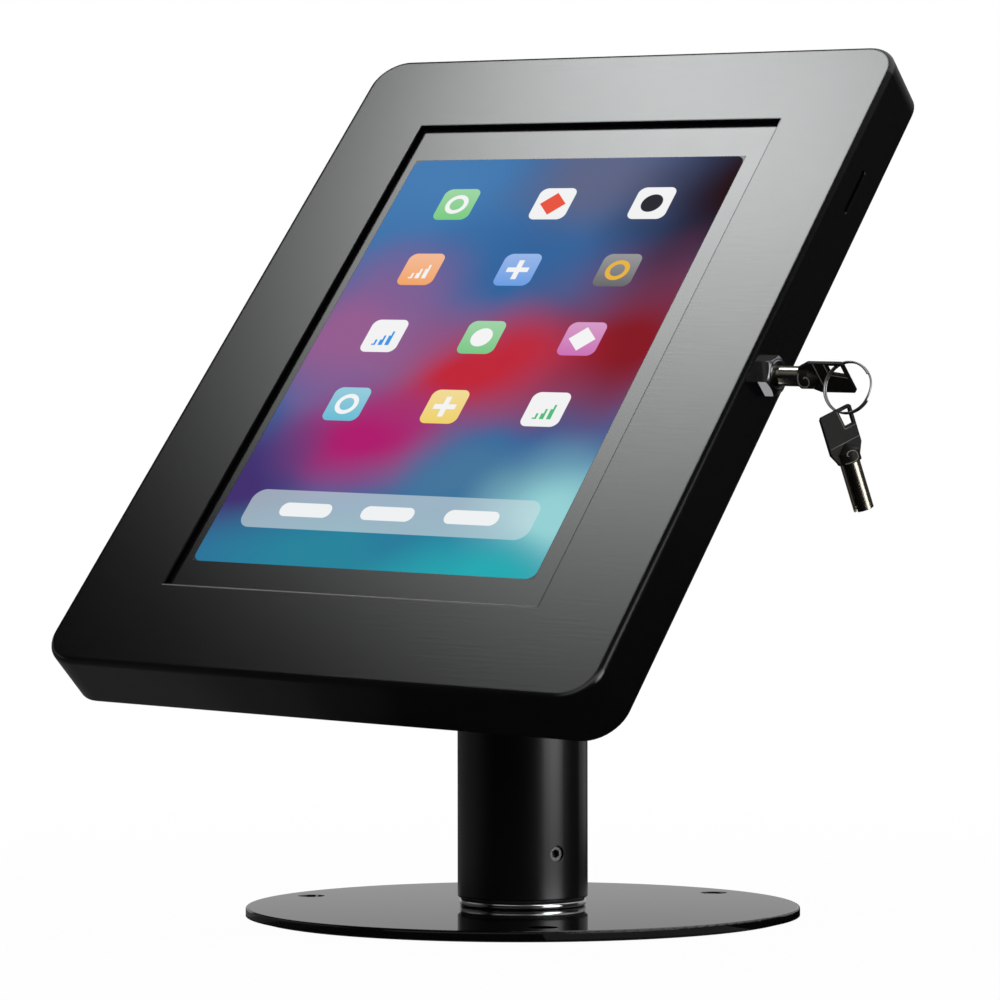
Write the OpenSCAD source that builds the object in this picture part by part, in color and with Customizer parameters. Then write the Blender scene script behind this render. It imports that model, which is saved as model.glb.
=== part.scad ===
// Counter stand that holds a tablet in a locked sheet metal case.
// Origin: middle of the underside of the foot pad, on the post axis. +Z up, the screen faces -Y.
// The case is drawn in its own frame: x across the screen, y up the screen, z out of the screen,
// counted from the tilt axis.

/* [Base] */
// Diameter of the base plate
base_d = 215.9; // [190:0.1:260]
// Thickness of the base plate
base_t = 3.4; // [3:0.1:6]
// Rounding of the base plate's upper rim
base_rim_r = 0.8; // [0.3:0.1:1.2]
// Thickness of the rubber pad under the base plate
pad_t = 1; // [0.5:0.1:2]
// Distance from the rim of the plate to the rim of the pad
pad_inset = 4; // [2:0.5:8]
// Diameter of the circle through the counter screw holes
bolt_circle_d = 187.4; // [170:0.1:195]
// Diameter of each counter screw hole
bolt_hole_d = 5.5; // [4:0.1:6.5]
// Diameter of the countersink of each counter screw hole
bolt_head_d = 10.8; // [8.5:0.1:11.5]
// Number of counter screw holes
bolt_count = 3; // [3:1:4]
// Angle of the first counter screw hole
bolt_phase = 66; // [0:1:119]

/* [Hub and post] */
// Outside diameter of the post
post_d = 50.8; // [44:0.1:60]
// Wall of the post
post_wall = 3; // [2:0.1:4]
// Length of the post
post_l = 160.2; // [140:0.1:220]
// Rounding of the post's lower edge
post_edge_r = 1; // [0.3:0.1:1.5]
// Diameter of the bright hub flange
hub_flange_d = 49.5; // [42:0.1:58]
// Thickness of the hub flange
hub_flange_t = 2.6; // [2.4:0.1:5]
// Rounding of the hub flange's rim, above and below
hub_rim_r = 1.1; // [0.3:0.1:1.1]
// Height of the hub above its flange
hub_h = 40; // [36:1:60]
// Wall of the hub
hub_wall = 7; // [6:0.5:9]
// Diameter of the hub screws
hub_screw_d = 6; // [4:0.5:6]
// Thickness of the swivel washer
swivel_washer_t = 0.5; // [0.4:0.1:1]
// Height of the set screw above the post's lower end
set_screw_z = 18.2; // [14:0.1:26]
// Diameter of the set screw
set_screw_d = 6; // [4:0.5:7]
// Angle of the set screw about the post
set_screw_angle = -27; // [-180:1:180]
// Depth of the hub groove that the set screw runs in
groove_depth = 2.6; // [1.5:0.1:3.5]

/* [Tilt hinge] */
// Lean of the screen, back from upright
face_lean = 40.4; // [30:0.1:60]
// Height of the tilt axis above the post head's cap
hinge_rise = 20; // [19:0.5:30]
// Thickness of the cap on the post
cap_t = 3; // [2:0.1:6]
// Length of the post head inside the post
head_plug_l = 28; // [20:1:40]
// Thickness of each ear of the post head
ear_t = 7; // [5:0.1:9]
// Radius of the ears about the tilt axis
ear_r = 11; // [9.5:0.1:13]
// Width of the tilt knuckle
knuckle_w = 15.2; // [10:0.1:18]
// Thickness of the friction washers
tilt_washer_t = 0.9; // [0.5:0.1:2]
// Diameter of the tilt bolt
tilt_bolt_d = 8; // [6:0.5:9]

/* [Turn plate] */
// Turn of the case about its own middle, seen from the front
face_turn = -3.3; // [-5:0.1:90]
// Distance from the tilt axis to the turn plate
plate_reach = 16; // [15:0.5:24]
// Diameter of the turn plate
plate_d = 60; // [52:1:76]
// Thickness of the turn plate
plate_t = 4; // [3:0.1:6]
// Thickness of the turn washer
turn_washer_t = 1.05; // [0.5:0.05:2]
// Diameter of the pivot
pivot_d = 12; // [10:0.5:14]
// Thickness of the pivot nut
pivot_nut_t = 6; // [4:0.5:6]
// Distance of the stop pin from the pivot
stop_r = 20; // [18.5:0.1:23]
// Diameter of the stop pin
stop_pin_d = 4; // [3:0.1:5]
// Least turn that the stop slot allows
stop_min = -5; // [-10:0.5:-4]
// Largest turn that the stop slot allows
stop_max = 90; // [45:1:95]

/* [Case] */
// Width of the case
case_w = 248; // [236:0.1:290]
// Height of the case
case_h = 325.7; // [312:0.1:370]
// Depth of the case
case_d = 24.2; // [23.5:0.1:32]
// Radius of the case's corners, seen from the front
corner_r = 14.5; // [10:0.5:16]
// Radius of the bend round the front
bend_r = 2.1; // [2:0.1:4]
// Thickness of the cover's sheet
sheet_t = 1.5; // [1:0.1:1.8]
// Width of the window
window_w = 170.3; // [150:0.1:172]
// Height of the window
window_h = 246.6; // [220:0.1:248]
// Thickness of the tray's sheet
tray_t = 2; // [1.5:0.1:3]
// Height of the tray's lips above its back face
lip_h = 12; // [8:0.5:13]
// Gap between the tray's lips and the cover's walls
tray_gap = 0.8; // [0.8:0.1:1.5]
// Length of the slot in the right wall
slot_l = 22; // [12:0.5:40]
// Width of the slot in the right wall
slot_w = 2; // [1.5:0.1:4]
// Height of the slot's middle above the case's middle
slot_y = 95; // [60:1:110]
// Height of the cable hole's middle above the case's middle
cable_y = -62; // [-90:1:-50]
// Diameter of the cable hole in the grommet
cable_d = 14; // [8:0.5:18]

/* [Cover hinges] */
// Radius of the hinge barrels
barrel_r = 2.2; // [1.8:0.1:3]
// Diameter of the hinge pins
hinge_pin_d = 2.2; // [1.6:0.1:2.4]
// Length of each hinge
hinge_l = 46; // [30:1:70]
// Distance of each hinge from the case's middle
hinge_y = 100; // [60:1:115]
// Thickness of the hinge leaves
leaf_t = 1.2; // [0.8:0.1:1.2]

/* [Tablet] */
// Width of the tablet
tablet_w = 178; // [174:0.5:182]
// Height of the tablet
tablet_h = 254.5; // [252:0.5:262]
// Thickness of the tablet
tablet_t = 7.5; // [6:0.1:9]
// Corner radius of the tablet
tablet_r = 10; // [6:0.5:14]
// Thickness of the tablet's front glass
glass_t = 0.8; // [0.5:0.1:1.5]
// Width of the display
display_w = 155.9; // [140:0.1:160]
// Height of the display
display_h = 214.4; // [190:0.1:225]
// How far the tablet sits to the right of the window's middle
tablet_x = -1.9; // [-3:0.1:3]
// How far the tablet sits above the window's middle
tablet_y = -2.1; // [-3:0.1:3]
// Thickness of the seal between the cover and the tablet
seal_t = 0.7; // [0.5:0.1:1.2]
// Thickness of the foam pads under the tablet
foam_t = 2; // [1:0.1:4]

/* [Lock] */
// Height of the lock above the case's middle
lock_y = 0; // [-60:1:50]
// Width across the flats of the lock collar
collar_af = 13.4; // [13:0.1:18]
// Height of the lock collar above the wall
collar_h = 4.8; // [3:0.1:9]
// Outside diameter of the lock barrel
lock_d = 12; // [11:0.1:12]
// Diameter of the lock core
core_d = 9.3; // [9:0.1:9.8]
// Length of the lock barrel behind the wall's outer face
barrel_l = 17; // [14:0.5:24]
// Thickness of the lock cam
cam_t = 2; // [1.5:0.1:3]
// Reach of the lock cam from the lock's axis
cam_reach = 8.9; // [8:0.1:9.2]
// Width of the lock cam's arm
cam_w = 8; // [6:0.5:9]

/* [Keys] */
// Outside diameter of the key's tube
key_d = 7.5; // [6.5:0.1:7.6]
// Wall of the key's tube
key_wall = 0.9; // [0.6:0.1:1.2]
// Depth that the key goes into the lock
key_insert = 8; // [5:0.5:10]
// Length of the tube from the lock's face to the neck
key_reach = 10.4; // [8:0.1:16]
// Length of the neck between tube and bow
neck_l = 5; // [4:0.1:8]
// Length of the bow
bow_l = 14.6; // [14:0.1:20]
// Width of the bow
bow_w = 15.6; // [14:0.1:20]
// Thickness of the bow
bow_t = 1.2; // [1:0.1:1.4]
// Width of the rim round the ring hole
rim_w = 1.2; // [1:0.1:1.4]
// Length of the ring hole along the key
eye_l = 5.8; // [5.8:0.1:9]
// Width of the ring hole across the key
eye_w = 5.4; // [5.4:0.1:8]

/* [Key ring] */
// Outside diameter of the key ring
ring_d = 19.6; // [18:0.1:19.8]
// Diameter of the ring's wire
wire_d = 0.8; // [0.6:0.05:0.8]
// Distance between the ring's two turns, middle to middle
wire_pitch = 1.25; // [1.25:0.05:1.4]
// Distance of the ring's middle past the end of the first key
ring_shift = 1.4; // [1:0.1:2]
// Lean of the hanging ring, out of the vertical
ring_lean = 8; // [4:1:12]
// Lean of the second key in its own plane
key_lean = 22; // [10:1:30]
// Turn of the second key about the vertical
key_turn = -111; // [-125:1:-95]

/* [Hidden] */
$fn = 64;
// Small overlap of cuts past a face
eps = 0.1;
// Radial clearance of a running fit
run_gap = 0.05;
// Radial clearance of a screw in its own thread or of a pressed pin
thread_gap = 0.02;
// Clearance between faces that slide or seat
seat_gap = 0.1;
// Clearance round pieces that must not touch
free_gap = 0.3;

plate_z = pad_t;
plate_top = plate_z + base_t;
flange_top = plate_top + hub_flange_t;
post_bottom = flange_top + swivel_washer_t + seat_gap;
post_top = post_bottom + post_l;
cap_top = post_top + cap_t;
hinge_z = cap_top + hinge_rise;
post_r = post_d / 2;
bore_r = post_r - post_wall;
plug_r = bore_r - run_gap;
hub_floor_t = 9;
hub_screw_r = plug_r - 9;
hub_screw_l = 11;
set_z = post_bottom + set_screw_z;
set_recess = 1.2;
groove_r = plug_r - groove_depth;
head_screw_d = 5;
head_screw_z = post_top - head_plug_l / 2;

ear_gap = knuckle_w / 2 + tilt_washer_t + seat_gap;
ear_out = ear_gap + ear_t;
tilt_nut_t = tilt_bolt_d;
tilt_nut_af = tilt_bolt_d * 1.625;
knuckle_r = ear_r - 1;
collar_cone_r = 18;

plate_front = plate_reach + plate_t;
back_z = plate_front + turn_washer_t + run_gap;
tray_in = back_z + tray_t;
face_z = back_z + case_d;
sheet_in = face_z - sheet_t;
glass_z = sheet_in - seal_t - seat_gap;
tablet_back = glass_z - tablet_t;
pivot_washer_t = 1.2;
pivot_washer_r = pivot_d / 2 + 7;
pivot_nut_af = pivot_d * 1.5;
nut_z = tray_in + run_gap + pivot_washer_t;
pivot_top = nut_z + pivot_nut_t + 1;
plate_edge_r = 1;
stop_gap = 0.2;
stop_tip = 0.5;
stop_root = plate_reach + 1;
stop_angle = 90;

wall_in = case_w / 2 - sheet_t;
tray_x1 = wall_in - tray_gap;
tray_x0 = -wall_in + leaf_t + free_gap;
tray_y = case_h / 2 - sheet_t - tray_gap;
tray_r = corner_r - sheet_t;
hinge_x = -case_w / 2 + 0.8;
hinge_axis_z = back_z - barrel_r - 0.15;
knuckle_l = hinge_l * 0.44;
leaf_root = barrel_r / 2;

tablet_edge_r = 2.5;
glass_inset = 0.6;
bracket_wall = 3;
bracket_l = 24;
bracket_foot_t = 2.4;
bracket_screw_d = 3;
bracket_screw_in = 8;
shelf_w = 15;
shelf_h = tablet_back - foam_t - tray_in;
bracket_h = tablet_back - tray_in + tablet_t * 0.6;
foam_w = 12;
grommet_r = cable_d / 2 + 4;

lock_z = back_z + case_d / 2;
lock_in = -barrel_l;
core_end = lock_in - 1.4;
cam_z = core_end - cam_t;
tang_r = 3;
cam_screw_t = 1.5;
lock_nut_t = 4;
lock_nut_af = lock_d + 5;
catch_t = 1.8;
catch_w = 9;
catch_y0 = lock_d / 2 + 0.6;
catch_y1 = catch_y0 + 5.6;
catch_foot = 16;
catch_z = lock_z + cam_w / 2 + 0.4;
notch_w = lock_nut_af / cos(30) + 3;

key_z = collar_h - key_insert;
neck_z = key_insert + key_reach;
bow_z = neck_z + neck_l;
key_l = bow_z + bow_l;
sleeve_r = key_d / 2 + 0.8;
tube_l = neck_z + neck_l - 1;
keyway_gap = 0.1;
bow_chamfer = 0.8;

wire_r = wire_d / 2;
ring_r = ring_d / 2 - wire_r;
ring_start = 30;
ring_end = 690;
ring_step = 15;
ring_sides = 6;
cross_start = 330;
cross_l = 60;
band_r = wire_pitch / 2 + wire_r;
eye_x = -bow_w / 2 + rim_w;
eye_z = key_l - rim_w;
eye_low = eye_w * 0.78;

// A point of the key's frame, in the lock's frame and in the case's frame
function in_lock(p) = p + [0, 0, key_z];
function in_case(p) = [case_w / 2 + p.z, lock_y + p.y, lock_z - p.x];
function turned(p, a) = [p.x * cos(a) - p.y * sin(a), p.x * sin(a) + p.y * cos(a), p.z];
function tipped(p, a) = [p.x, p.y * cos(a) - p.z * sin(a), p.y * sin(a) + p.z * cos(a)];
// A point of the case's frame, in the stand's frame
function in_stand(p) = [0, 0, hinge_z] + tipped(turned(p, face_turn), 90 - face_lean);

// The ring hangs from the rim at the end of the first key's bow, askew to the bow's plane
hang_angle = 90 - face_lean + ring_lean;
rim_half = bow_t / 2 / sin(hang_angle);
band_half = band_r / sin(hang_angle) + bow_t / 2 / tan(hang_angle);
hang_x = eye_x + band_half + free_gap;
hang_z = key_l + ring_shift;
hang_drop = sqrt(pow(ring_r - wire_r, 2) - pow(rim_w + ring_shift, 2))
    - rim_half - band_r / tan(hang_angle) - free_gap;
hang_point = in_stand(in_case(in_lock([hang_x, 0, hang_z])));
case_x = in_stand([1, 0, 0]) - in_stand([0, 0, 0]);
ring_turn = atan2(case_x.y, case_x.x);

// Where the ring's lower wire goes through the second key's hole, clear of both rims as the key swings
spare_in = band_r + 2 * free_gap;
spare_x = eye_x + spare_in;
spare_z = eye_z - spare_in;

// Frames that carry the pieces

module neck_frame() {
    translate([0, 0, hinge_z]) rotate([90 - face_lean, 0, 0]) children();
}

module case_frame() {
    neck_frame() rotate([0, 0, face_turn]) children();
}

// z out of the right wall, y up the screen
module lock_frame() {
    case_frame() translate([case_w / 2, lock_y, lock_z]) rotate([0, 90, 0]) children();
}

module key_frame() {
    lock_frame() translate([0, 0, key_z]) children();
}

// x along the ring, y along its axis, from the ring's middle
module ring_frame() {
    translate(hang_point) rotate([0, 0, ring_turn]) rotate([-ring_lean, 0, 0])
        translate([0, 0, -hang_drop]) children();
}

module spare_key_frame() {
    ring_frame() translate([0, 0, -ring_r]) rotate([ring_lean, 0, 0]) rotate([0, 0, key_turn - ring_turn])
        rotate([0, key_lean, 0]) translate([-spare_x, 0, -spare_z]) children();
}

// Shapes that repeat

module ring_of(count, r, phase = 0) {
    for (i = [0 : count - 1])
        rotate([0, 0, phase + i * 360 / count]) translate([r, 0, 0]) children();
}

module hexagon(af, h) {
    cylinder(r = af / 2 / cos(30), h = h, $fn = 6);
}

module rounded_rect(w, h, r) {
    square([w - 2 * r, h], center = true);
    square([w, h - 2 * r], center = true);
    for (x = [-1, 1], y = [-1, 1]) translate([x * (w / 2 - r), y * (h / 2 - r)]) circle(r);
}

// Half section of a slab whose upper edge is rounded
module edge_profile(half, depth, r) {
    square([half - r, depth]);
    square([half, depth - r]);
    translate([half - r, depth - r]) circle(r);
}

// Slab with round corners, and a bend round its upper face
module bent_slab(w, h, depth, r, bend) {
    x = w / 2 - r;
    y = h / 2 - r;
    translate([-x, -y, 0]) cube([2 * x, 2 * y, depth]);
    for (m = [0, 1]) mirror([m, 0, 0]) translate([x, y, 0]) rotate([90, 0, 0])
        linear_extrude(2 * y) edge_profile(r, depth, bend);
    for (m = [0, 1]) mirror([0, m, 0]) translate([-x, y, 0]) rotate([90, 0, 90])
        linear_extrude(2 * x) edge_profile(r, depth, bend);
    for (a = [0, 1], b = [0, 1]) mirror([a, 0, 0]) mirror([0, b, 0]) translate([x, y, 0])
        rotate_extrude(angle = 90) edge_profile(r, depth, bend);
}

module tube(ro, ri, h) {
    difference() {
        cylinder(r = ro, h = h);
        translate([0, 0, -eps]) cylinder(r = ri, h = h + 2 * eps);
    }
}

// Base

module base_plate() {
    color([0.05, 0.05, 0.055]) translate([0, 0, plate_z]) difference() {
        rotate_extrude() edge_profile(base_d / 2, base_t, base_rim_r);
        ring_of(bolt_count, bolt_circle_d / 2, bolt_phase) {
            translate([0, 0, -eps]) cylinder(d = bolt_hole_d, h = base_t + 2 * eps);
            translate([0, 0, base_t - (bolt_head_d - bolt_hole_d) / 2])
                cylinder(d1 = bolt_hole_d, d2 = bolt_head_d, h = (bolt_head_d - bolt_hole_d) / 2);
        }
        ring_of(3, hub_screw_r) {
            translate([0, 0, -eps]) cylinder(d = hub_screw_d + 2 * run_gap, h = base_t + 2 * eps);
            cylinder(d1 = 2 * hub_screw_d, d2 = hub_screw_d, h = hub_screw_d / 2);
        }
    }
}

module base_pad() {
    color([0.1, 0.1, 0.1]) difference() {
        cylinder(d = base_d - 2 * pad_inset, h = pad_t);
        ring_of(bolt_count, bolt_circle_d / 2, bolt_phase)
            translate([0, 0, -eps]) cylinder(d = bolt_head_d, h = pad_t + 2 * eps);
    }
}

module base_hub() {
    inner = plug_r - hub_wall;
    top = hub_flange_t + hub_h;
    mid = set_z - plate_top;
    half = set_screw_d / 2 + free_gap;
    color([0.8, 0.8, 0.82]) translate([0, 0, plate_top]) difference() {
        rotate_extrude() {
            polygon([
                [0, 0], [plug_r, 0], [plug_r, mid - half], [groove_r, mid - half], [groove_r, mid + half],
                [plug_r, mid + half], [plug_r, top - 1], [plug_r - 1, top], [inner, top],
                [inner, hub_floor_t], [0, hub_floor_t]
            ]);
            for (m = [0, 1]) translate([0, hub_flange_t / 2]) mirror([0, m])
                edge_profile(hub_flange_d / 2, hub_flange_t / 2, hub_rim_r);
        }
        ring_of(3, hub_screw_r)
            translate([0, 0, -eps]) cylinder(d = hub_screw_d + 2 * thread_gap, h = hub_floor_t + 2 * eps);
    }
}

module hub_screws() {
    color([0.45, 0.45, 0.47]) translate([0, 0, plate_z]) ring_of(3, hub_screw_r) difference() {
        union() {
            cylinder(d1 = 2 * hub_screw_d - 2 * run_gap, d2 = hub_screw_d, h = hub_screw_d / 2 - run_gap);
            cylinder(d = hub_screw_d, h = hub_screw_l);
        }
        translate([0, 0, -eps]) hexagon(hub_screw_d * 0.6, hub_screw_d * 0.4);
    }
}

module swivel_washer() {
    color([0.12, 0.12, 0.12]) translate([0, 0, flange_top])
        tube(hub_flange_d / 2 - 0.6, plug_r + 2 * run_gap, swivel_washer_t);
}

// Post

module post_tube() {
    color([0.06, 0.06, 0.065]) difference() {
        translate([0, 0, post_top]) mirror([0, 0, 1])
            rotate_extrude() edge_profile(post_r, post_l, post_edge_r);
        translate([0, 0, post_bottom - eps]) cylinder(r = bore_r, h = post_l + 2 * eps);
        rotate([0, 0, set_screw_angle]) translate([bore_r - 1, 0, set_z]) rotate([0, 90, 0])
            cylinder(d = set_screw_d + 2 * thread_gap, h = post_wall + 2);
        ring_of(2, 0, 60) translate([bore_r - 1, 0, head_screw_z]) rotate([0, 90, 0])
            cylinder(d = head_screw_d + 2 * thread_gap, h = post_wall + 2);
    }
}

// Grub screw with a hex socket, along +x
module grub_screw(d, from, to) {
    translate([from, 0, 0]) rotate([0, 90, 0]) difference() {
        union() {
            cylinder(d1 = d * 0.6, d2 = d, h = d * 0.2);
            translate([0, 0, d * 0.2]) cylinder(d = d, h = to - from - d * 0.2);
        }
        translate([0, 0, to - from - d * 0.45]) hexagon(d * 0.5, d * 0.45 + eps);
    }
}

module post_set_screw() {
    color([0.3, 0.3, 0.31]) rotate([0, 0, set_screw_angle]) translate([0, 0, set_z])
        grub_screw(set_screw_d, groove_r + free_gap, post_r - set_recess);
}

module post_head() {
    plug_wall = 5;
    color([0.07, 0.07, 0.075]) difference() {
        union() {
            translate([0, 0, post_top]) rotate_extrude() edge_profile(post_r, cap_t, post_edge_r);
            translate([0, 0, post_top - head_plug_l]) cylinder(r = plug_r, h = head_plug_l + eps);
            for (m = [0, 1]) mirror([m, 0, 0]) translate([ear_gap, 0, hinge_z]) rotate([90, 0, 90])
                linear_extrude(ear_t) {
                    circle(ear_r);
                    translate([-ear_r, -hinge_rise - eps]) square([2 * ear_r, hinge_rise + eps]);
                }
        }
        translate([0, 0, post_top - head_plug_l - eps])
            cylinder(r = plug_r - plug_wall, h = head_plug_l - plug_wall + eps);
        translate([-ear_out - eps, 0, hinge_z]) rotate([0, 90, 0])
            cylinder(d = tilt_bolt_d + 2 * run_gap, h = 2 * (ear_out + eps));
        ring_of(2, 0, 60) translate([plug_r - plug_wall - 1, 0, head_screw_z]) rotate([0, 90, 0])
            cylinder(d = head_screw_d + 2 * thread_gap, h = plug_wall + 2);
    }
}

module post_head_screws() {
    color([0.3, 0.3, 0.31]) ring_of(2, 0, 60) translate([0, 0, head_screw_z])
        grub_screw(head_screw_d, plug_r - 4, post_r - 0.6);
}

module tilt_bolt() {
    head_r = tilt_bolt_d * 0.8;
    color([0.2, 0.2, 0.21]) translate([0, 0, hinge_z]) rotate([0, 90, 0]) difference() {
        union() {
            translate([0, 0, -ear_out - tilt_nut_t - 1])
                cylinder(d = tilt_bolt_d, h = 2 * ear_out + tilt_nut_t + 2);
            translate([0, 0, ear_out]) rotate_extrude() edge_profile(head_r, tilt_bolt_d, 0.8);
        }
        translate([0, 0, ear_out + tilt_bolt_d * 0.5]) hexagon(tilt_bolt_d * 0.75, tilt_bolt_d);
    }
}

module tilt_nut() {
    color([0.2, 0.2, 0.21]) translate([-ear_out, 0, hinge_z]) rotate([0, -90, 0]) difference() {
        union() {
            hexagon(tilt_nut_af, tilt_nut_t * 0.8);
            cylinder(d = tilt_nut_af * 0.92, h = tilt_nut_t);
        }
        translate([0, 0, -eps]) cylinder(d = tilt_bolt_d + 2 * thread_gap, h = tilt_nut_t + 2 * eps);
    }
}

module tilt_washers() {
    color([0.75, 0.75, 0.72]) for (m = [0, 1]) mirror([m, 0, 0])
        translate([knuckle_w / 2 + seat_gap / 2, 0, hinge_z]) rotate([0, 90, 0])
            tube(knuckle_r, tilt_bolt_d / 2 + 2 * run_gap, tilt_washer_t);
}

// Neck between the post and the case

module tilt_knuckle() {
    color([0.07, 0.07, 0.075]) neck_frame() difference() {
        union() {
            rotate([0, 90, 0]) cylinder(r = knuckle_r, h = knuckle_w, center = true);
            translate([-knuckle_w / 2, -knuckle_r, 0]) cube([knuckle_w, 2 * knuckle_r, plate_reach + eps]);
            translate([0, 0, ear_r + 0.6])
                cylinder(r1 = knuckle_r + 1, r2 = collar_cone_r, h = plate_reach - ear_r - 0.6 + eps);
            translate([0, 0, plate_front]) mirror([0, 0, 1])
                rotate_extrude() edge_profile(plate_d / 2, plate_t, plate_edge_r);
            cylinder(d = pivot_d, h = pivot_top);
        }
        rotate([0, 90, 0]) cylinder(d = tilt_bolt_d + 2 * run_gap, h = knuckle_w + 2 * eps, center = true);
        rotate([0, 0, stop_angle]) translate([stop_r, 0, stop_root])
            cylinder(d = stop_pin_d + 2 * thread_gap, h = plate_t);
    }
}

module turn_washer() {
    color([0.75, 0.75, 0.72]) neck_frame() translate([0, 0, plate_front]) difference() {
        tube(plate_d / 2 - 1.5, pivot_d / 2 + run_gap, turn_washer_t);
        rotate([0, 0, stop_angle]) translate([stop_r, 0, -eps])
            cylinder(d = stop_pin_d + 2 * run_gap, h = turn_washer_t + 2 * eps);
    }
}

module stop_pin() {
    straight = tray_in - stop_root;
    color([0.6, 0.6, 0.62]) neck_frame() rotate([0, 0, stop_angle]) translate([stop_r, 0, stop_root]) {
        cylinder(d = stop_pin_d, h = straight);
        translate([0, 0, straight]) cylinder(d1 = stop_pin_d, d2 = stop_pin_d - 2 * stop_tip, h = stop_tip);
    }
}

module pivot_washer() {
    color([0.6, 0.6, 0.62]) neck_frame() translate([0, 0, tray_in + run_gap])
        tube(pivot_washer_r, pivot_d / 2 + run_gap, pivot_washer_t);
}

module pivot_nut() {
    color([0.6, 0.6, 0.62]) neck_frame() translate([0, 0, nut_z]) difference() {
        hexagon(pivot_nut_af, pivot_nut_t);
        translate([0, 0, -eps]) cylinder(d = pivot_d + 2 * thread_gap, h = pivot_nut_t + 2 * eps);
    }
}

// Tray and what it carries

module tray_outline(inset) {
    w = tray_x1 - tray_x0 - 2 * inset;
    translate([(tray_x0 + tray_x1) / 2, 0]) rounded_rect(w, 2 * (tray_y - inset), tray_r - inset);
}

// Arc slot that the stop pin runs in, with a little room past each end
module stop_slot() {
    slot_r = stop_pin_d / 2 + stop_gap;
    room = asin(slot_r / stop_r);
    from = stop_angle - stop_max - room;
    to = stop_angle - stop_min + room;
    translate([0, 0, back_z - eps]) rotate([0, 0, from]) rotate_extrude(angle = to - from)
        translate([stop_r - slot_r, 0]) square([2 * slot_r, tray_t + 2 * eps]);
}

module at_tablet_corners() {
    for (x = [-1, 1], y = [-1, 1])
        translate([tablet_x + x * tablet_w / 2, tablet_y + y * tablet_h / 2, 0])
            mirror([x < 0 ? 1 : 0, 0, 0]) mirror([0, y < 0 ? 1 : 0, 0]) children();
}

module back_tray() {
    color([0.07, 0.07, 0.075]) case_frame() difference() {
        translate([0, 0, back_z]) linear_extrude(lip_h) tray_outline(0);
        translate([0, 0, tray_in]) linear_extrude(lip_h) tray_outline(sheet_t);
        translate([0, 0, back_z - eps]) cylinder(d = pivot_d + 2 * run_gap, h = tray_t + 2 * eps);
        stop_slot();
        translate([0, cable_y, back_z - eps]) cylinder(r = grommet_r, h = tray_t + 2 * eps);
        translate([0, 0, back_z - eps]) at_tablet_corners()
            translate([-bracket_screw_in, -bracket_screw_in, 0])
                cylinder(d = bracket_screw_d + 2 * run_gap, h = tray_t + 2 * eps);
        translate([tray_x1 - sheet_t - eps, lock_y - notch_w / 2, tray_in])
            cube([sheet_t + 2 * eps, notch_w, lip_h]);
    }
}

module cable_grommet() {
    lip = 2.5;
    edge = 1.2;
    color([0.08, 0.08, 0.08]) case_frame() translate([0, cable_y, back_z]) rotate_extrude() polygon([
        [cable_d / 2, -edge], [grommet_r + lip, -edge], [grommet_r + lip, -run_gap],
        [grommet_r - run_gap, -run_gap], [grommet_r - run_gap, tray_t + run_gap],
        [grommet_r + lip, tray_t + run_gap], [grommet_r + lip - 1, tray_t + edge], [cable_d / 2, tray_t + edge]
    ]);
}

// Corner clip in the frame of a tablet corner, with the tablet towards -x and -y
module corner_clip() {
    out = free_gap + bracket_wall;
    difference() {
        union() {
            translate([-bracket_l, -bracket_l, 0]) cube([bracket_l + out, bracket_l + out, bracket_foot_t]);
            translate([-bracket_l, free_gap, 0]) cube([bracket_l + out, bracket_wall, bracket_h]);
            translate([free_gap, -bracket_l, 0]) cube([bracket_wall, bracket_l + out, bracket_h]);
            translate([-shelf_w, -shelf_w, 0])
                cube([shelf_w + free_gap + eps, shelf_w + free_gap + eps, shelf_h]);
        }
        translate([-shelf_w + 2, -shelf_w - eps, bracket_foot_t])
            cube([3, shelf_w - 1, shelf_h - bracket_foot_t - 2]);
        translate([-shelf_w - eps, -shelf_w + 2, bracket_foot_t])
            cube([shelf_w - 1, 3, shelf_h - bracket_foot_t - 2]);
        translate([-bracket_screw_in, -bracket_screw_in, -eps])
            cylinder(d = bracket_screw_d + 2 * thread_gap, h = shelf_h - 2);
    }
}

module tablet_brackets() {
    color([0.09, 0.09, 0.09]) case_frame() translate([0, 0, tray_in]) at_tablet_corners() corner_clip();
}

module bracket_screws() {
    head_t = 1.8;
    color([0.25, 0.25, 0.26]) case_frame() translate([0, 0, back_z]) at_tablet_corners()
        translate([-bracket_screw_in, -bracket_screw_in, 0]) difference() {
            union() {
                mirror([0, 0, 1]) rotate_extrude() edge_profile(bracket_screw_d, head_t, 0.7);
                cylinder(d = bracket_screw_d, h = tray_t + shelf_h - 4);
            }
            translate([0, 0, -head_t - eps]) hexagon(bracket_screw_d * 0.7, head_t * 0.7);
        }
}

module foam_pads() {
    color([0.15, 0.15, 0.15]) case_frame() translate([0, 0, tablet_back - foam_t]) at_tablet_corners()
        translate([-shelf_w + 1, -shelf_w + 1, 0]) cube([foam_w, foam_w, foam_t]);
}

// Strike that the lock cam turns under
module lock_catch() {
    top = catch_z + catch_t - tray_in;
    left = case_w / 2 + cam_z - (catch_w - cam_t) / 2;
    color([0.6, 0.6, 0.62]) case_frame() translate([left, lock_y, tray_in])
        rotate([90, 0, 90]) linear_extrude(catch_w) {
            translate([catch_y1, 0]) square([catch_t, top]);
            translate([catch_y0, top - catch_t]) square([catch_y1 - catch_y0 + catch_t, catch_t]);
            translate([catch_y1, 0]) square([catch_foot, catch_t]);
        }
}

module at_hinges() {
    for (y = [-1, 1]) translate([hinge_x, y * hinge_y, hinge_axis_z]) children();
}

module along_hinge(from, l) {
    translate([0, from, 0]) rotate([-90, 0, 0]) linear_extrude(l) children();
}

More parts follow.
